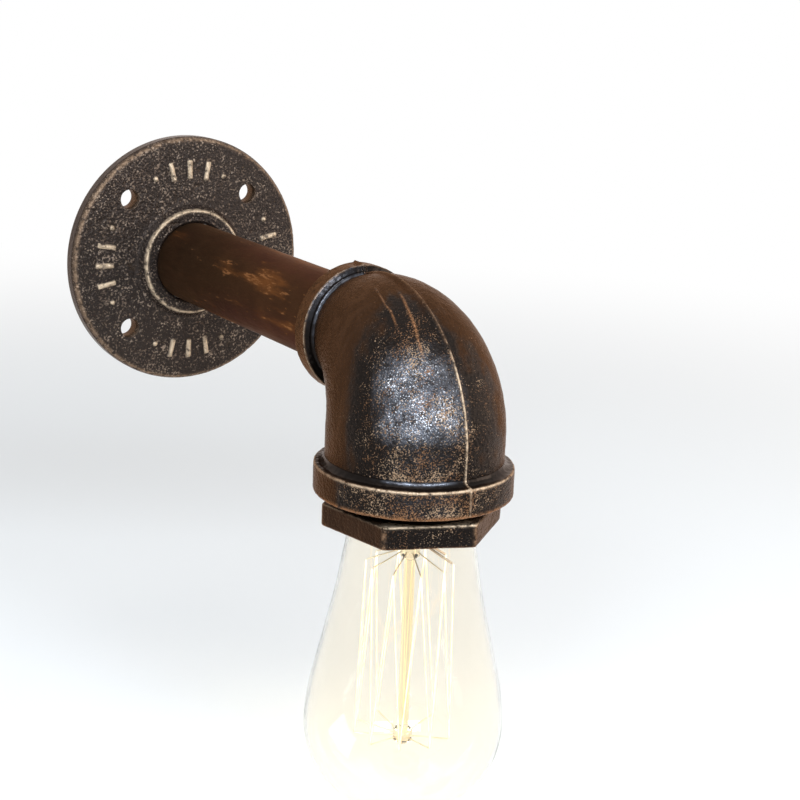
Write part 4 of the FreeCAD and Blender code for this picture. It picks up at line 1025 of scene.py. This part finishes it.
@dataclass
class Elbow:
    """Cast reducing elbow with a band at each mouth, a parting seam and casting creases.

    A crease is a line through points of (ring angle, tilt) in degrees, and its width. The
    rubbed-and-lit side, the painted highlight side and the painted lip highlight side weigh the
    three parts of a normal, and the span of each is where its effect comes in. The first marks
    the front left, towards the window lamp, as rubbed back and as painted light; the other two
    paint the window lamp's highlight on the bend, in the outlet band's cove and on the inlet
    band's lip.
    """

    outlet_drop: float = 39.6
    outlet_band: float = 28.4
    outlet_band_height: float = 8.6
    outlet_body: float = 25.4
    inlet_set: float = 36.75
    inlet_band: float = 19.3
    inlet_band_length: float = 6.65
    inlet_body: float = 16.75
    crotch: float = 4.0
    wall: float = 5.0
    swell: float = 1.3
    side_swell: float = 2.1
    left_swell: float = 1.35
    band_round: float = 0.8
    lip_round: float = 0.6
    outlet_cove: float = 2.0
    inlet_cove: float = 0.85
    inlet_chamfer: float = 1.15
    outlet_bore: float = 20.95
    outlet_bore_depth: float = 15.1
    inlet_bore: float = 13.4
    inlet_bore_depth: float = 10.7
    inlet_clear_depth: float = 14.2
    seam_height: float = 0.46
    seam_width: float = 0.40
    seam_margin: float = 0.7
    gutter_depth: float = 0.14
    gutter_place: float = 1.5
    gutter_width: float = 0.8
    crease_height: float = 0.22
    creases: tuple[tuple[tuple[Span, ...], float], ...] = (
        (((-101.0, 60.0), (-102.6, 54.8), (-105.4, 46.0), (-106.8, 40.2), (-109.0, 34.2),
          (-110.0, 24.0)), 0.459),
        (((-113.5, 67.0), (-115.4, 60.8), (-117.8, 52.5), (-117.0, 48.8), (-118.6, 42.2),
          (-119.5, 37.0)), 0.351),
    )
    grain: Layers = ((0.55, 1.0, 21), (0.35, 2.1, 22), (0.4, 6.0, 23))
    grain_depth: float = 0.10
    grain_rise: float = 1.3
    patches: Layers = ((0.20, 9.0, 24), (0.16, 4.0, 25))
    # Sides and spans of the rubbed-and-lit mark, which is partly painted light, and of the painted
    # highlights.
    worn_and_lit_side: Point = (-0.35, -1.0, 0.0)
    worn_and_lit_span: Span = (0.26, 0.94)
    painted_highlight_side: Point = (-0.46, -0.82, 0.34)
    painted_highlight_span: Span = (0.83, 0.96)
    cove_highlight_span: Span = (0.90, 0.98)
    lip_highlight_side: Point = (-0.62, -0.35, 0.70)
    lip_highlight_span: Span = (0.55, 0.95)
    spacing: float = 0.34
    sides: int = 420

    @property
    def band_top(self) -> float:
        """Height of the outlet band's upper face."""
        return self.outlet_band_height - self.outlet_drop

    @property
    def band_start(self) -> float:
        """Place along the arm at which the inlet band begins."""
        return self.inlet_set - self.inlet_band_length

    def bend(self, degrees: np.ndarray, inset: float) -> np.ndarray:
        """Stations round the bend, in planes that all pass through the crotch's axis.

        The body's radius runs from the outlet's to the inlet's with the angle's share to the
        power of the swell, and its half widths do so with the side swell and the left swell. Its
        centre lies the radius and the crotch's away from the axis.

        Args:
            degrees: Angles of the stations' planes.
            inset: How far inside the body the skin lies.

        Returns:
            Rows of (centre's y, centre's z, radius, tilt in degrees, right and left half widths).
        """
        body, right, left = (
            self.outlet_body + (self.inlet_body - self.outlet_body) * (degrees / 90) ** power
            for power in (self.swell, self.side_swell, self.left_swell))
        angle = np.radians(degrees)
        centre_y = self.outlet_body + self.crotch - (self.crotch + body) * np.cos(angle)
        centre_z = -self.inlet_body - self.crotch + (self.crotch + body) * np.sin(angle)
        return np.column_stack((centre_y, centre_z, body - inset, degrees, right - inset,
                                left - inset))

    def stations(self) -> tuple[np.ndarray, int]:
        """Closed run of stations: up the outside from the outlet's mouth, and back inside.

        Returns:
            Rows of (centre's y, centre's z, radius, tilt, right and left half widths), and how
            many of them are outside.
        """
        face, top, start = -self.outlet_drop, self.band_top, self.band_start
        small, big_cove, cove = self.band_round, self.outlet_cove, self.inlet_cove
        low = spaced(np.vstack((
            (self.outlet_bore, face),
            corner_arc((self.outlet_band - small, face + small), small, -90, 0, 6),
            corner_arc((self.outlet_band - small, top - small), small, 0, 90, 6),
            corner_arc((self.outlet_body + big_cove, top + big_cove), big_cove, 270, 180, 9),
            (self.outlet_body, -self.inlet_body - self.crotch),
        )), self.spacing)
        high = spaced(np.vstack((
            corner_arc((self.inlet_body + cove, start - cove), cove, 180, 90, 9),
            corner_arc((self.inlet_band - self.lip_round, start + self.inlet_chamfer),
                       self.lip_round, -52, 0, 6),
            corner_arc((self.inlet_band - small, self.inlet_set - small), small, 0, 90, 6),
            (self.inlet_bore, self.inlet_set),
        )), self.spacing)
        level, upright = np.zeros(len(low)), np.zeros(len(high))
        outside = np.vstack((
            np.column_stack((level, low[:, 1], low[:, 0], level, low[:, 0], low[:, 0])),
            self.bend(np.linspace(0, 89, 100)[1:], 0.0),
            np.column_stack((high[:, 1], upright, high[:, 0], upright + 90.0, high[:, 0],
                             high[:, 0])),
        ))
        bore, shelf = self.inlet_bore, face + self.outlet_bore_depth
        inside = np.vstack((
            (self.inlet_set - self.inlet_bore_depth, 0.0, bore, 90.0, bore, bore),
            self.bend(np.linspace(66, 0, 14), self.wall),
            *((0.0, shelf, radius, 0.0, radius, radius)
              for radius in (self.outlet_body - self.wall, self.outlet_bore)),
        ))
        return np.vstack((outside, inside)), len(outside)

    def skin(self, rows: np.ndarray, around: np.ndarray, shown: np.ndarray) -> np.ndarray:
        """Rings round the stations: centre + (w cos a, r sin a cos t, -r sin a sin t).

        Inside, the skin is kept off the pipe as far in as the pipe may reach.

        Args:
            rows: Stations.
            around: Ring angles in degrees.
            shown: Whether a station is outside, one row each.

        Returns:
            Grid of points about the outlet's axis.
        """
        centre_y, centre_z, radius, tilt, right, left = rows.T[..., None]
        angle, lean = np.radians(around), np.radians(tilt)
        width = np.where(np.cos(angle) > 0, right, left)
        grid = np.stack((
            width * np.cos(angle),
            centre_y + radius * np.sin(angle) * np.cos(lean),
            centre_z - radius * np.sin(angle) * np.sin(lean),
        ), axis=-1)
        arm_radius = np.hypot(grid[..., 0], grid[..., 2])
        tight = ~shown & (arm_radius < self.inlet_bore) \
            & (grid[..., 1] > self.inlet_set - self.inlet_clear_depth)
        grow = np.where(tight, self.inlet_bore / np.maximum(arm_radius, 1.0), 1.0)
        grid[..., ::2] *= grow[..., None]
        return grid

    def crease_lines(self, around: np.ndarray, radius: np.ndarray,
                     tilt: np.ndarray) -> np.ndarray:
        """Height share of the creases: a ridge across each line, which fades out at its ends.

        Args:
            around: Ring angles in degrees.
            radius: Radius of each station, one row each.
            tilt: Tilt of each station in degrees, one row each.

        Returns:
            Shares between 0 and 1 over the whole grid.
        """
        share = np.zeros((len(radius), len(around)))
        for guide, width in self.creases:
            places, tilts = np.array(guide)[::-1].T
            line = ridge(np.radians(around - np.interp(tilt, tilts, places)) * radius, width)
            fade = smooth(tilts[0], tilts[0] + 9, tilt) * smooth(tilts[-1], tilts[-1] - 7, tilt)
            share = np.maximum(share, line * fade)
        return share

    def edge_lines(self, along: np.ndarray, height: np.ndarray, radius: np.ndarray,
                   tilt: np.ndarray) -> tuple[np.ndarray, np.ndarray]:
        """How far each station is rubbed to pale gold and to copper: ridges over band corners.

        Args:
            along: Place of each station along the arm.
            height: Height of each station.
            radius: Radius of each station.
            tilt: Tilt of each station in degrees.

        Returns:
            One number of each kind for each station.
        """
        low = (tilt == 0) & (radius > self.outlet_band - 0.75)
        upper = ridge(height - self.band_top + 0.35, 0.42) * low
        under = ridge(height + self.outlet_drop - 0.45, 0.60) * low
        high = (tilt == 90) & (radius > self.inlet_band - 0.35)
        front = ridge(along - self.band_start - self.inlet_chamfer + 0.1, 0.22) * high
        back = ridge(along - self.inlet_set + 0.25, 0.35) * high
        return 0.95 * upper + 0.7 * front, 0.8 * under + 0.5 * back + 0.4 * upper + 0.16 * high

    def build(self, finish: bpy.types.Material) -> None:
        """Casting with its seam, creases and orange-peel grain.

        The seam is a rounded ridge along the back of every ring, with a shallow gutter beside
        it, and the grain only ever sinks below the plain skin. The rubbed-and-lit mark and the
        painted highlight follow how far the skin faces the front left, towards the window lamp,
        each with patches of its own: the first is partly painted light, the second is painted
        highlight only. The coves and the hidden inside take painted shade.

        Args:
            finish: Material of the casting.
        """
        rows, outside = self.stations()
        along, height, radius, tilt = rows.T[:4, :, None]
        shown = np.arange(len(rows))[:, None] < outside
        around = np.linspace(-270.0, 90.0, self.sides, endpoint=False)
        grid = self.skin(rows, around, shown)
        normals = outward(grid)
        off = np.radians(around + 90.0) * radius
        flanks = shown & (grid[..., 2] > self.seam_margin - self.outlet_drop) \
            & (grid[..., 1] < self.inlet_set - self.seam_margin)
        seam = ridge(off, self.seam_width) * flanks
        gutter = ridge(off + self.gutter_place, self.gutter_width) * flanks * (radius < 25.6)
        crease = self.crease_lines(around, radius, tilt) * shown
        quiet = np.clip(1 - seam - 0.6 * crease, 0.15, 1)
        depth = -self.grain_depth * (layered(grid, self.grain) + self.grain_rise) * quiet * shown \
            + self.seam_height * seam - self.gutter_depth * gutter + self.crease_height * crease
        grid = grid + normals * depth[..., None]

        patches = layered(grid, self.patches)
        # The front left, towards the window lamp, is marked as rubbed back and as lit: partly real,
        # partly painted light.
        front = smooth(*self.worn_and_lit_span, normals @ np.array(self.worn_and_lit_side))
        low_cove = (tilt == 0) & (height < self.band_top + 1.7) & (radius < self.outlet_band - 0.5)
        in_cove = shown & (low_cove | (tilt == 90) & (along < self.band_start + 1.0))
        on_band = (tilt == 0) & (radius > self.outlet_band - 0.7)
        # Stronger left of the seam, on the side that the window lamp lights: painted light.
        left = smooth(-5.0, 1.0, -off)
        wear_and_lit_side = (0.05 + 0.80 * front * (0.56 + 0.44 * left) + patches * front) \
            * (1 - 0.24 * smooth(24.0, 70.0, tilt))
        between_creases = ridge(tilt - 47.0, 11.0) * ridge(around + 107.0, 15.0)
        wear_and_lit_side = (wear_and_lit_side + 0.26 * on_band * front + 0.30 * crease + 0.30 * between_creases) * shown
        # Painted highlight: a blue-grey sheen on the bend where the skin reflects the window lamp.
        highlight_facing = normals @ np.array(self.painted_highlight_side)
        painted_highlight = smooth(*self.painted_highlight_span, highlight_facing) * (0.75 + 2.0 * patches) \
            * smooth(-2.0, 8.0, tilt) * smooth(37.0, 20.0, tilt)
        # Painted highlight lines on the inlet band's lip and in the outlet band's cove.
        painted_lip_highlight = smooth(*self.lip_highlight_span, normals @ np.array(self.lip_highlight_side))
        painted_cove_highlight = np.where(tilt > 89, 0.6 * painted_lip_highlight, 0.75 * smooth(*self.cove_highlight_span, highlight_facing))
        painted_highlight = np.clip(np.maximum(painted_highlight, in_cove * painted_cove_highlight), 0, 1) * shown
        gold, copper = self.edge_lines(along, height, radius, tilt)
        bright = (0.12 + 0.88 * smooth(34.0, 20.0, tilt)) * (1 - 0.65 * on_band)
        on_body = tilt < 90
        # Seam and band edges are rubbed to gold, and brighter on the lit front left as a painted
        # highlight.
        rub_and_highlight = 0.95 * seam ** 3.2 * bright * on_body + gold * shown * (0.45 + 0.55 * front)
        tan = 0.6 * crease ** 2 + 0.28 * seam ** 2 * on_body + copper * shown
        # Painted shade: the coves and the hidden inside are black and smooth.
        painted_shade = 1.0 * (in_cove & (seam < 0.1)) + 0.8 * ~shown
        marks = {"wear_and_lit_side": wear_and_lit_side, "rub_and_highlight": rub_and_highlight, "tan": tan, "painted_shade": painted_shade,
                 "painted_highlight": painted_highlight * np.clip(1 - seam, 0, 1)}
        grid[..., 1] -= HEAD_REACH
        piece = grid_piece("elbow_casting", grid, marks={
            label: np.clip(values, 0, 1) for label, values in marks.items()})
        settle(piece, Body.HEAD, Slot.CAST, finish, "reducing_elbow")


class Face(IntEnum):
    """Faces of the bushing, in the order in which its outline runs through them."""

    UNDER = 0
    LOWER_EDGE = 1
    FLATS = 2
    UPPER_EDGE = 3
    SHOULDER = 4
    THREAD = 5
    INSIDE = 6


@dataclass
class Bushing:
    """Hex bushing: a rounded hexagon below a male thread that screws into the elbow."""

    bottom: float = -49.4
    hex_height: float = 6.9
    flats: float = 45.4
    hex_round: float = 0.8
    hex_turn: float = 40.0
    corner_power: float = 140.0
    length: float = 24.4
    thread_radius: float = 20.9
    thread_depth: float = 1.4
    thread_end: float = 0.3
    pitch: float = 2.2
    bore: float = 18.6
    bore_chamfer: float = 0.4
    shoulder_bore: float = 16.6
    shoulder_length: float = 3.0
    groove_low: float = 4.5
    groove_height: float = 1.6
    groove_depth: float = 0.8
    grain: Layers = ((0.5, 0.9, 31), (0.35, 2.0, 32), (0.35, 5.0, 33))
    grain_depth: float = 0.09
    grain_rise: float = 1.2
    # Turn of the flat towards the room, marked as rubbed back and as lit by the window lamp.
    worn_and_lit_turn: float = 250.0
    sides: int = 480

    def hexagon(self, angles: np.ndarray) -> np.ndarray:
        """Radius of the hexagon: half its flats over the cosine of the angle from a flat's middle.

        A power mean of that and of the corner's round softens the six corners.

        Args:
            angles: Angles round the axis in radians.

        Returns:
            Radius at each angle.
        """
        sector = FULL_TURN / 6
        turn = folded(angles, sector, math.radians(self.hex_turn) + sector / 2)
        sharp = self.flats / 2 / np.cos(turn)
        corner = self.flats / math.sqrt(3) - 0.1
        power = -self.corner_power
        return (sharp ** power + corner ** power) ** (1 / power)

    def thread(self, angles: np.ndarray, heights: np.ndarray | float) -> np.ndarray:
        """Radius of a level disc whose centre climbs a helix about the axis.

        With s the swing and d the angle to the centre, it is s cos d + sqrt(m^2 - s^2 sin^2 d).

        Args:
            angles: Angles round the axis in radians.
            heights: Heights along the axis.

        Returns:
            Radius at each angle and height.
        """
        swing = self.thread_depth / 2
        mean = self.thread_radius - swing
        off = angles - FULL_TURN * heights / self.pitch
        return swing * np.cos(off) + np.sqrt(mean ** 2 - (swing * np.sin(off)) ** 2)

    def outline(self, angles: np.ndarray) -> tuple[np.ndarray, np.ndarray, np.ndarray]:
        """Closed run of rings over all faces: out below, up the hexagon and thread, down inside.

        Args:
            angles: Angles round the axis in radians.

        Returns:
            Radii and heights, rings by angles, and the face of each ring, one row each.
        """
        low, high, top = (self.bottom + rise for rise in (0.0, self.hex_height, self.length))
        six, small = self.hexagon(angles), self.hex_round
        turns = np.radians(np.linspace(-90, 0, 7))[:, None]
        back = turns[::-1]
        side = np.linspace(low + small, high - small, 15)[1:-1, None]
        out, to_thread = (np.linspace(*ends)[:, None] for ends in ((0.0, 0.9, 6), (0.12, 1.0, 9)))
        climb = np.linspace(high, top - self.thread_end, 120)[1:, None]
        groove = low + self.groove_low
        inner = np.array([
            (self.shoulder_bore, top - self.thread_end),
            (self.shoulder_bore, top - self.shoulder_length),
            (self.bore, top - self.shoulder_length),
            (self.bore, groove + self.groove_height),
            (self.bore + self.groove_depth, groove + self.groove_height),
            (self.bore + self.groove_depth, groove), (self.bore, groove),
            (self.bore, low + self.bore_chamfer), (self.bore + self.bore_chamfer, low),
        ])
        faces = {
            Face.UNDER: ((self.bore + 1.0) * (1 - out) + (six - small) * out, low),
            Face.LOWER_EDGE: (six - small + small * np.cos(turns),
                              low + small + small * np.sin(turns)),
            Face.FLATS: (six, side),
            Face.UPPER_EDGE: (six - small + small * np.cos(back),
                              high - small - small * np.sin(back)),
            Face.SHOULDER: ((six - small) * (1 - to_thread) + self.thread(angles, high) * to_thread,
                            high),
            Face.THREAD: (self.thread(angles, climb), climb),
            Face.INSIDE: (inner[:, :1], inner[:, 1:]),
        }
        rings = [np.stack(np.broadcast_arrays(radius, height, angles)[:2])
                 for radius, height in faces.values()]
        radii, heights = np.concatenate(rings, axis=1)
        return radii, heights, np.repeat(list(faces), [ring.shape[1] for ring in rings])[:, None]

    def build(self, finish: bpy.types.Material) -> None:
        """Hexagon, thread and bore as one closed skin, rubbed and lit on the flat towards the room:
        there the specks and the bright top edge are partly painted light, and the other flats and
        the inside take painted shade.

        Args:
            finish: Material of the casting.
        """
        angles = np.linspace(0, FULL_TURN, self.sides, endpoint=False)
        radii, heights, face = self.outline(angles)
        grid = np.stack((radii * np.cos(angles), radii * np.sin(angles), heights), axis=-1)
        on_hex = (face >= Face.LOWER_EDGE) & (face <= Face.SHOULDER)
        sunk = self.grain_depth * (layered(grid, self.grain) + self.grain_rise) * on_hex
        grid = grid - outward(grid) * sunk[..., None]
        off_corner = folded(angles, FULL_TURN / 6, math.radians(self.hex_turn)) * 25.0
        corner = ridge(off_corner, 0.55) * (on_hex & (face <= Face.UPPER_EDGE))
        top_edge = ridge(heights - self.bottom - self.hex_height + 0.22, 0.33) * (
            on_hex & (face >= Face.UPPER_EDGE) & (radii > 21.3))
        low_edge = ridge(heights - self.bottom - 0.2, 0.3) * (on_hex & (face <= Face.FLATS))
        # The flat towards the room and the window lamp: partly rubbed back, partly painted light.
        front = smooth(0.80, 0.90, np.cos(angles - math.radians(self.worn_and_lit_turn)))
        # The top edge is bright mostly on that flat: a painted highlight over a rubbed edge.
        rub_and_highlight = np.clip(1.1 * top_edge * (0.2 + 0.8 * front) + 0.12 * corner, 0, 1)
        tan = np.clip(0.4 * low_edge + 0.4 * corner, 0, 1)
        # Painted shade inside the thread and bore; the flats away from the room get a lighter share
        # of it.
        hidden = np.where(face >= Face.THREAD, 1.0, 0.6)
        grid[..., 1] -= HEAD_REACH
        piece = grid_piece("bushing_casting", grid, marks={
            "wear_and_lit_side": np.where(on_hex, 0.02 + 0.56 * front, 0.0), "rub_and_highlight": rub_and_highlight, "tan": tan,
            "painted_shade": np.where(on_hex, 0.30 * (1 - front), hidden)})
        settle(piece, Body.HEAD, Slot.CAST, finish, "hex_bushing")


# --- lamp ------------------------------------------------------------------------------------


@dataclass
class Lamp:
    """Clear lamp: a flared envelope round a filament that runs up and down in a cage.

    The flare's guide points are (share of the way down, share of the way out).
    """

    neck_top: float = -28.0
    skirt: float = -36.0
    rim: float = -40.5
    neck: float = 10.9
    belly: float = 29.0
    belly_height: float = -109.5
    glass: float = 0.8
    upper: float = -61.0
    cage_height: float = 52.0
    upper_radius: float = 12.5
    lower_radius: float = 14.5
    hooks: int = 10
    hook_round: float = 0.012
    wire: float = 0.22
    wire_step: float = 2.5
    flare: tuple[Span, ...] = (
        (0.0, 0.077), (0.059, 0.238), (0.129, 0.365), (0.225, 0.436), (0.423, 0.569),
        (0.665, 0.779), (0.868, 0.95))

    def side(self, inset: float) -> np.ndarray:
        """Outline from the neck's top to the tip, as rows of (radius, height).

        The flare is a Hermite curve through its guide points, with slopes taken from their
        neighbours, and a quarter circle closes it below.

        Args:
            inset: How far inside the glass's outer face the outline lies.

        Returns:
            The outline.
        """
        neck, belly = self.neck - inset, self.belly - inset
        drop = self.belly_height - self.rim
        knots = np.array([(neck, self.skirt),
                          *((neck + (belly - neck) * out, self.rim + drop * down)
                            for down, out in self.flare), (belly, self.belly_height)])
        slope = np.gradient(knots[:, 0], knots[:, 1])
        slope[0] = slope[-1] = 0.0
        heights = np.linspace(self.skirt, self.belly_height, 110)
        where = np.clip(np.searchsorted(-knots[:, 1], -heights, side="right") - 1, 0,
                        len(knots) - 2)
        span = knots[where + 1, 1] - knots[where, 1]
        t = (heights - knots[where, 1]) / span
        radius = ((2 * t ** 3 - 3 * t ** 2 + 1) * knots[where, 0]
                  + (t ** 3 - 2 * t ** 2 + t) * span * slope[where]
                  + (3 * t ** 2 - 2 * t ** 3) * knots[where + 1, 0]
                  + (t ** 3 - t ** 2) * span * slope[where + 1])
        bowl = corner_arc((0.0, self.belly_height), belly, 0, -88.5, 52)[1:]
        return np.vstack(((neck, self.neck_top), np.column_stack((radius, heights)), bowl))

    def envelope(self, finish: bpy.types.Material) -> None:
        """Double-walled glass, joined at the neck's top and closed at both tips.

        Args:
            finish: Glass material.
        """
        outside, inside = self.side(0.0), self.side(self.glass)
        grid = turned(np.vstack((outside[::-1], inside)), 160)
        grid[..., 1] -= HEAD_REACH
        tips = tuple(np.array([0.0, -HEAD_REACH, self.belly_height - self.belly + inset])
                     for inset in (0.0, self.glass))
        piece = grid_piece("lamp_envelope", grid, closed=False, poles=tips)
        settle(piece, Body.LAMP, Slot.GLASS, finish, "lamp_glass")

    def cage(self, finish: bpy.types.Material) -> None:
        """Filament: one wire carried along a zigzag between the upper and lower hooks.

        The path runs straight between the hooks, which lie on two circles, and each corner is
        drawn in a short round. A small ring of points is carried along it, square to its run.

        Args:
            finish: Filament material.
        """
        index = np.arange(2 * self.hooks - 1)
        low = index % 2 == 1
        radius = np.where(low, self.lower_radius, self.upper_radius)
        angle = index * FULL_TURN / self.hooks / 2
        height = np.where(low, self.upper - self.cage_height, self.upper)
        corners = np.column_stack((radius * np.cos(angle), radius * np.sin(angle), height))
        middle = corners[1:-1]
        before, after = (middle + (other - middle) * self.hook_round
                         for other in (corners[:-2], corners[2:]))
        hooks = np.stack((before, (before + after + 2 * middle) / 4, after), axis=1)
        path = spaced(np.vstack((corners[:1], hooks.reshape(-1, 3), corners[-1:])),
                      self.wire_step)
        run = np.gradient(path, axis=0)
        run /= np.linalg.norm(run, axis=1, keepdims=True)
        way = np.arctan2(path[:, 1], path[:, 0])
        first = np.cross(run, np.column_stack((np.cos(way), np.sin(way), np.zeros(len(path)))))
        first /= np.linalg.norm(first, axis=1, keepdims=True)
        second = np.cross(run, first)
        ring = np.linspace(0, FULL_TURN, 8, endpoint=False)[:, None]
        grid = path[:, None] + self.wire * (first[:, None] * np.cos(ring)
                                            + second[:, None] * np.sin(ring))
        grid[..., 1] -= HEAD_REACH
        ends = tuple(end - (0, HEAD_REACH, 0) for end in (path[0], path[-1]))
        piece = grid_piece("filament_cage", grid, closed=False, poles=ends)
        settle(piece, Body.LAMP, Slot.FILAMENT, finish, "lamp_filament")


# --- stage -----------------------------------------------------------------------------------


@dataclass(frozen=True)
class SoftLamp:
    """Oblong soft lamp: its place and its width and height, its power in watts and its colour."""

    name: str
    place: Point
    size: Span
    power: float
    colour: Colour

    def build(self, aim: Point) -> None:
        """Adds the lamp to the scene.

        Args:
            aim: Point that it faces.
        """
        data = bpy.data.lights.new(self.name, "AREA")
        data.shape = "RECTANGLE"
        data.size, data.size_y = (side * MM for side in self.size)
        data.energy = self.power
        data.color = self.colour
        item = bpy.data.objects.new(self.name, data)
        item.location = Vector(self.place) * MM
        item.rotation_mode = "QUATERNION"
        item.rotation_quaternion = (Vector(aim) - Vector(self.place)).to_track_quat("-Z", "Y")
        bpy.context.scene.collection.objects.link(item)


@dataclass
class Studio:
    """Pale floor, white surround, soft lamps and the photograph's viewpoint."""

    floor_height: float = -152.0
    floor_centre: float = -150.0
    floor_radius: float = 9000.0
    floor_depth: float = 4.0
    floor_rings: int = 40
    floor_sides: int = 96
    floor_tones: tuple[Colour, Colour] = ((0.86, 0.86, 0.855), (0.89, 0.89, 0.885))
    fade_to_white: Span = (0.22, 0.85)
    surround_light: float = 0.42
    aim: Point = (0.0, -160.0, -10.0)
    lamps: tuple[SoftLamp, ...] = (
        SoftLamp("window", (-470.0, -1160.0, 700.0), (1500.0, 330.0), 28.0, (0.78, 0.89, 1.0)),
        SoftLamp("overhead", (-150.0, -200.0, 1150.0), (700.0, 700.0), 2.5, (1.0, 0.97, 0.93)),
        SoftLamp("warm_side", (900.0, -650.0, 250.0), (600.0, 600.0), 5.0, (1.0, 0.88, 0.76)),
    )
    eye: Point = (-264.474, -555.344, 116.232)
    yaw: float = 0.570762
    pitch: float = 0.262841
    roll: float = 0.041163
    lens: float = 80.765
    sensor: float = 36.0
    sight: float = 100.0

    def floor(self) -> None:
        """Wide round floor: a grid of rings whose radius grows as the square of the row's share.

        What the camera sees of it fades to plain white away from the light.
        """
        rings = self.floor_radius * np.linspace(0.02, 1.0, self.floor_rings) ** 2
        level = np.column_stack((rings, np.full(self.floor_rings, self.floor_height)))
        grid = turned(level, self.floor_sides) + (0, self.floor_centre, 0)
        middle = np.array([0.0, self.floor_centre, self.floor_height])
        down = (0, 0, self.floor_depth)
        floor = grid_piece("floor", np.vstack((grid, grid[::-1] - down)), closed=False,
                           poles=(middle, middle - down))
        mix = Recipe("pale_floor")
        mix.set(base_color=mix.blend(mix.noise(Grain(3.0, 3.0, 0.5)), *self.floor_tones),
                roughness=0.9, specular_ior_level=0.1)
        far = mix.add("VectorMath", {0: mix.stretched((1.0, 1.0, 0.0))}, operation="LENGTH")
        away = mix.step(far.outputs["Value"], self.fade_to_white)
        white = mix.add("Emission", {"Color": WHITE})
        mix.cover(mix.maths("MULTIPLY", away, mix.seen()), white.outputs["Emission"])
        floor.data.materials.append(mix.material)

    def surround(self) -> None:
        """White world for what is seen or reflected, and a quieter one for what it lights."""
        world = bpy.data.worlds.new("surround")
        world.use_nodes = True
        tree = Tree(world.node_tree)
        shades = [tree.add("Background", {"Color": WHITE, "Strength": level}).outputs["Background"]
                  for level in (self.surround_light, 1.0)]
        tree.add("OutputWorld", {"Surface": tree.between(tree.seen(), *shades)})
        bpy.context.scene.world = world

    def camera(self) -> None:
        """Camera at the photograph's viewpoint, turned by yaw, pitch and roll."""
        ahead = Vector((math.sin(self.yaw) * math.cos(self.pitch),
                        math.cos(self.yaw) * math.cos(self.pitch), -math.sin(self.pitch)))
        level = Vector((math.cos(self.yaw), -math.sin(self.yaw), 0.0))
        up = level.cross(ahead)
        right = math.cos(self.roll) * level + math.sin(self.roll) * up
        over = -math.sin(self.roll) * level + math.cos(self.roll) * up
        data = bpy.data.cameras.new("viewpoint")
        data.lens = self.lens
        data.sensor_width = self.sensor
        data.clip_end = self.sight
        item = bpy.data.objects.new("viewpoint", data)
        turn = Matrix((right, over, -ahead)).transposed()
        item.matrix_world = Matrix.Translation(Vector(self.eye) * MM) @ turn.to_4x4()
        bpy.context.scene.collection.objects.link(item)
        bpy.context.scene.camera = item

    def build(self) -> None:
        """Sets up floor, surround, lamps and camera."""
        self.floor()
        self.surround()
        for lamp in self.lamps:
            lamp.build(self.aim)
        self.camera()
        bpy.context.scene.view_settings.view_transform = "Standard"


def dress(frame: dict, materials: dict[str, bpy.types.Material]) -> None:
    """Gives every CAD node the finish of its slot in the record, and the lead wires their own.

    Args:
        materials: Finishes by name.
    """
    slots = {item["node"]: item["material_slot"] for item in frame["record"]["subparts"]}
    slots["lamp_lead_wires"] = "lead_wire"
    for name, node in frame["nodes"].items():
        node.data.materials.clear()
        node.data.materials.append(materials[slots[name]])
    LOG.info("dressed %d CAD nodes", len(frame["nodes"]))


def main() -> None:
    """Builds the light round the CAD frame."""
    logging.basicConfig(level=logging.INFO, format="%(name)s: %(message)s")
    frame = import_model()
    materials = finishes()
    dress(frame, materials)
    Flange().build(materials["flange_casting"])
    Arm().build(materials[Slot.PIPE.value])
    for casting in (Elbow(), Bushing()):
        casting.build(materials[Slot.CAST.value])
    lamp = Lamp()
    lamp.envelope(materials[Slot.GLASS.value])
    lamp.cage(materials[Slot.FILAMENT.value])
    Studio().build()


if __name__ == "__main__":
    main()
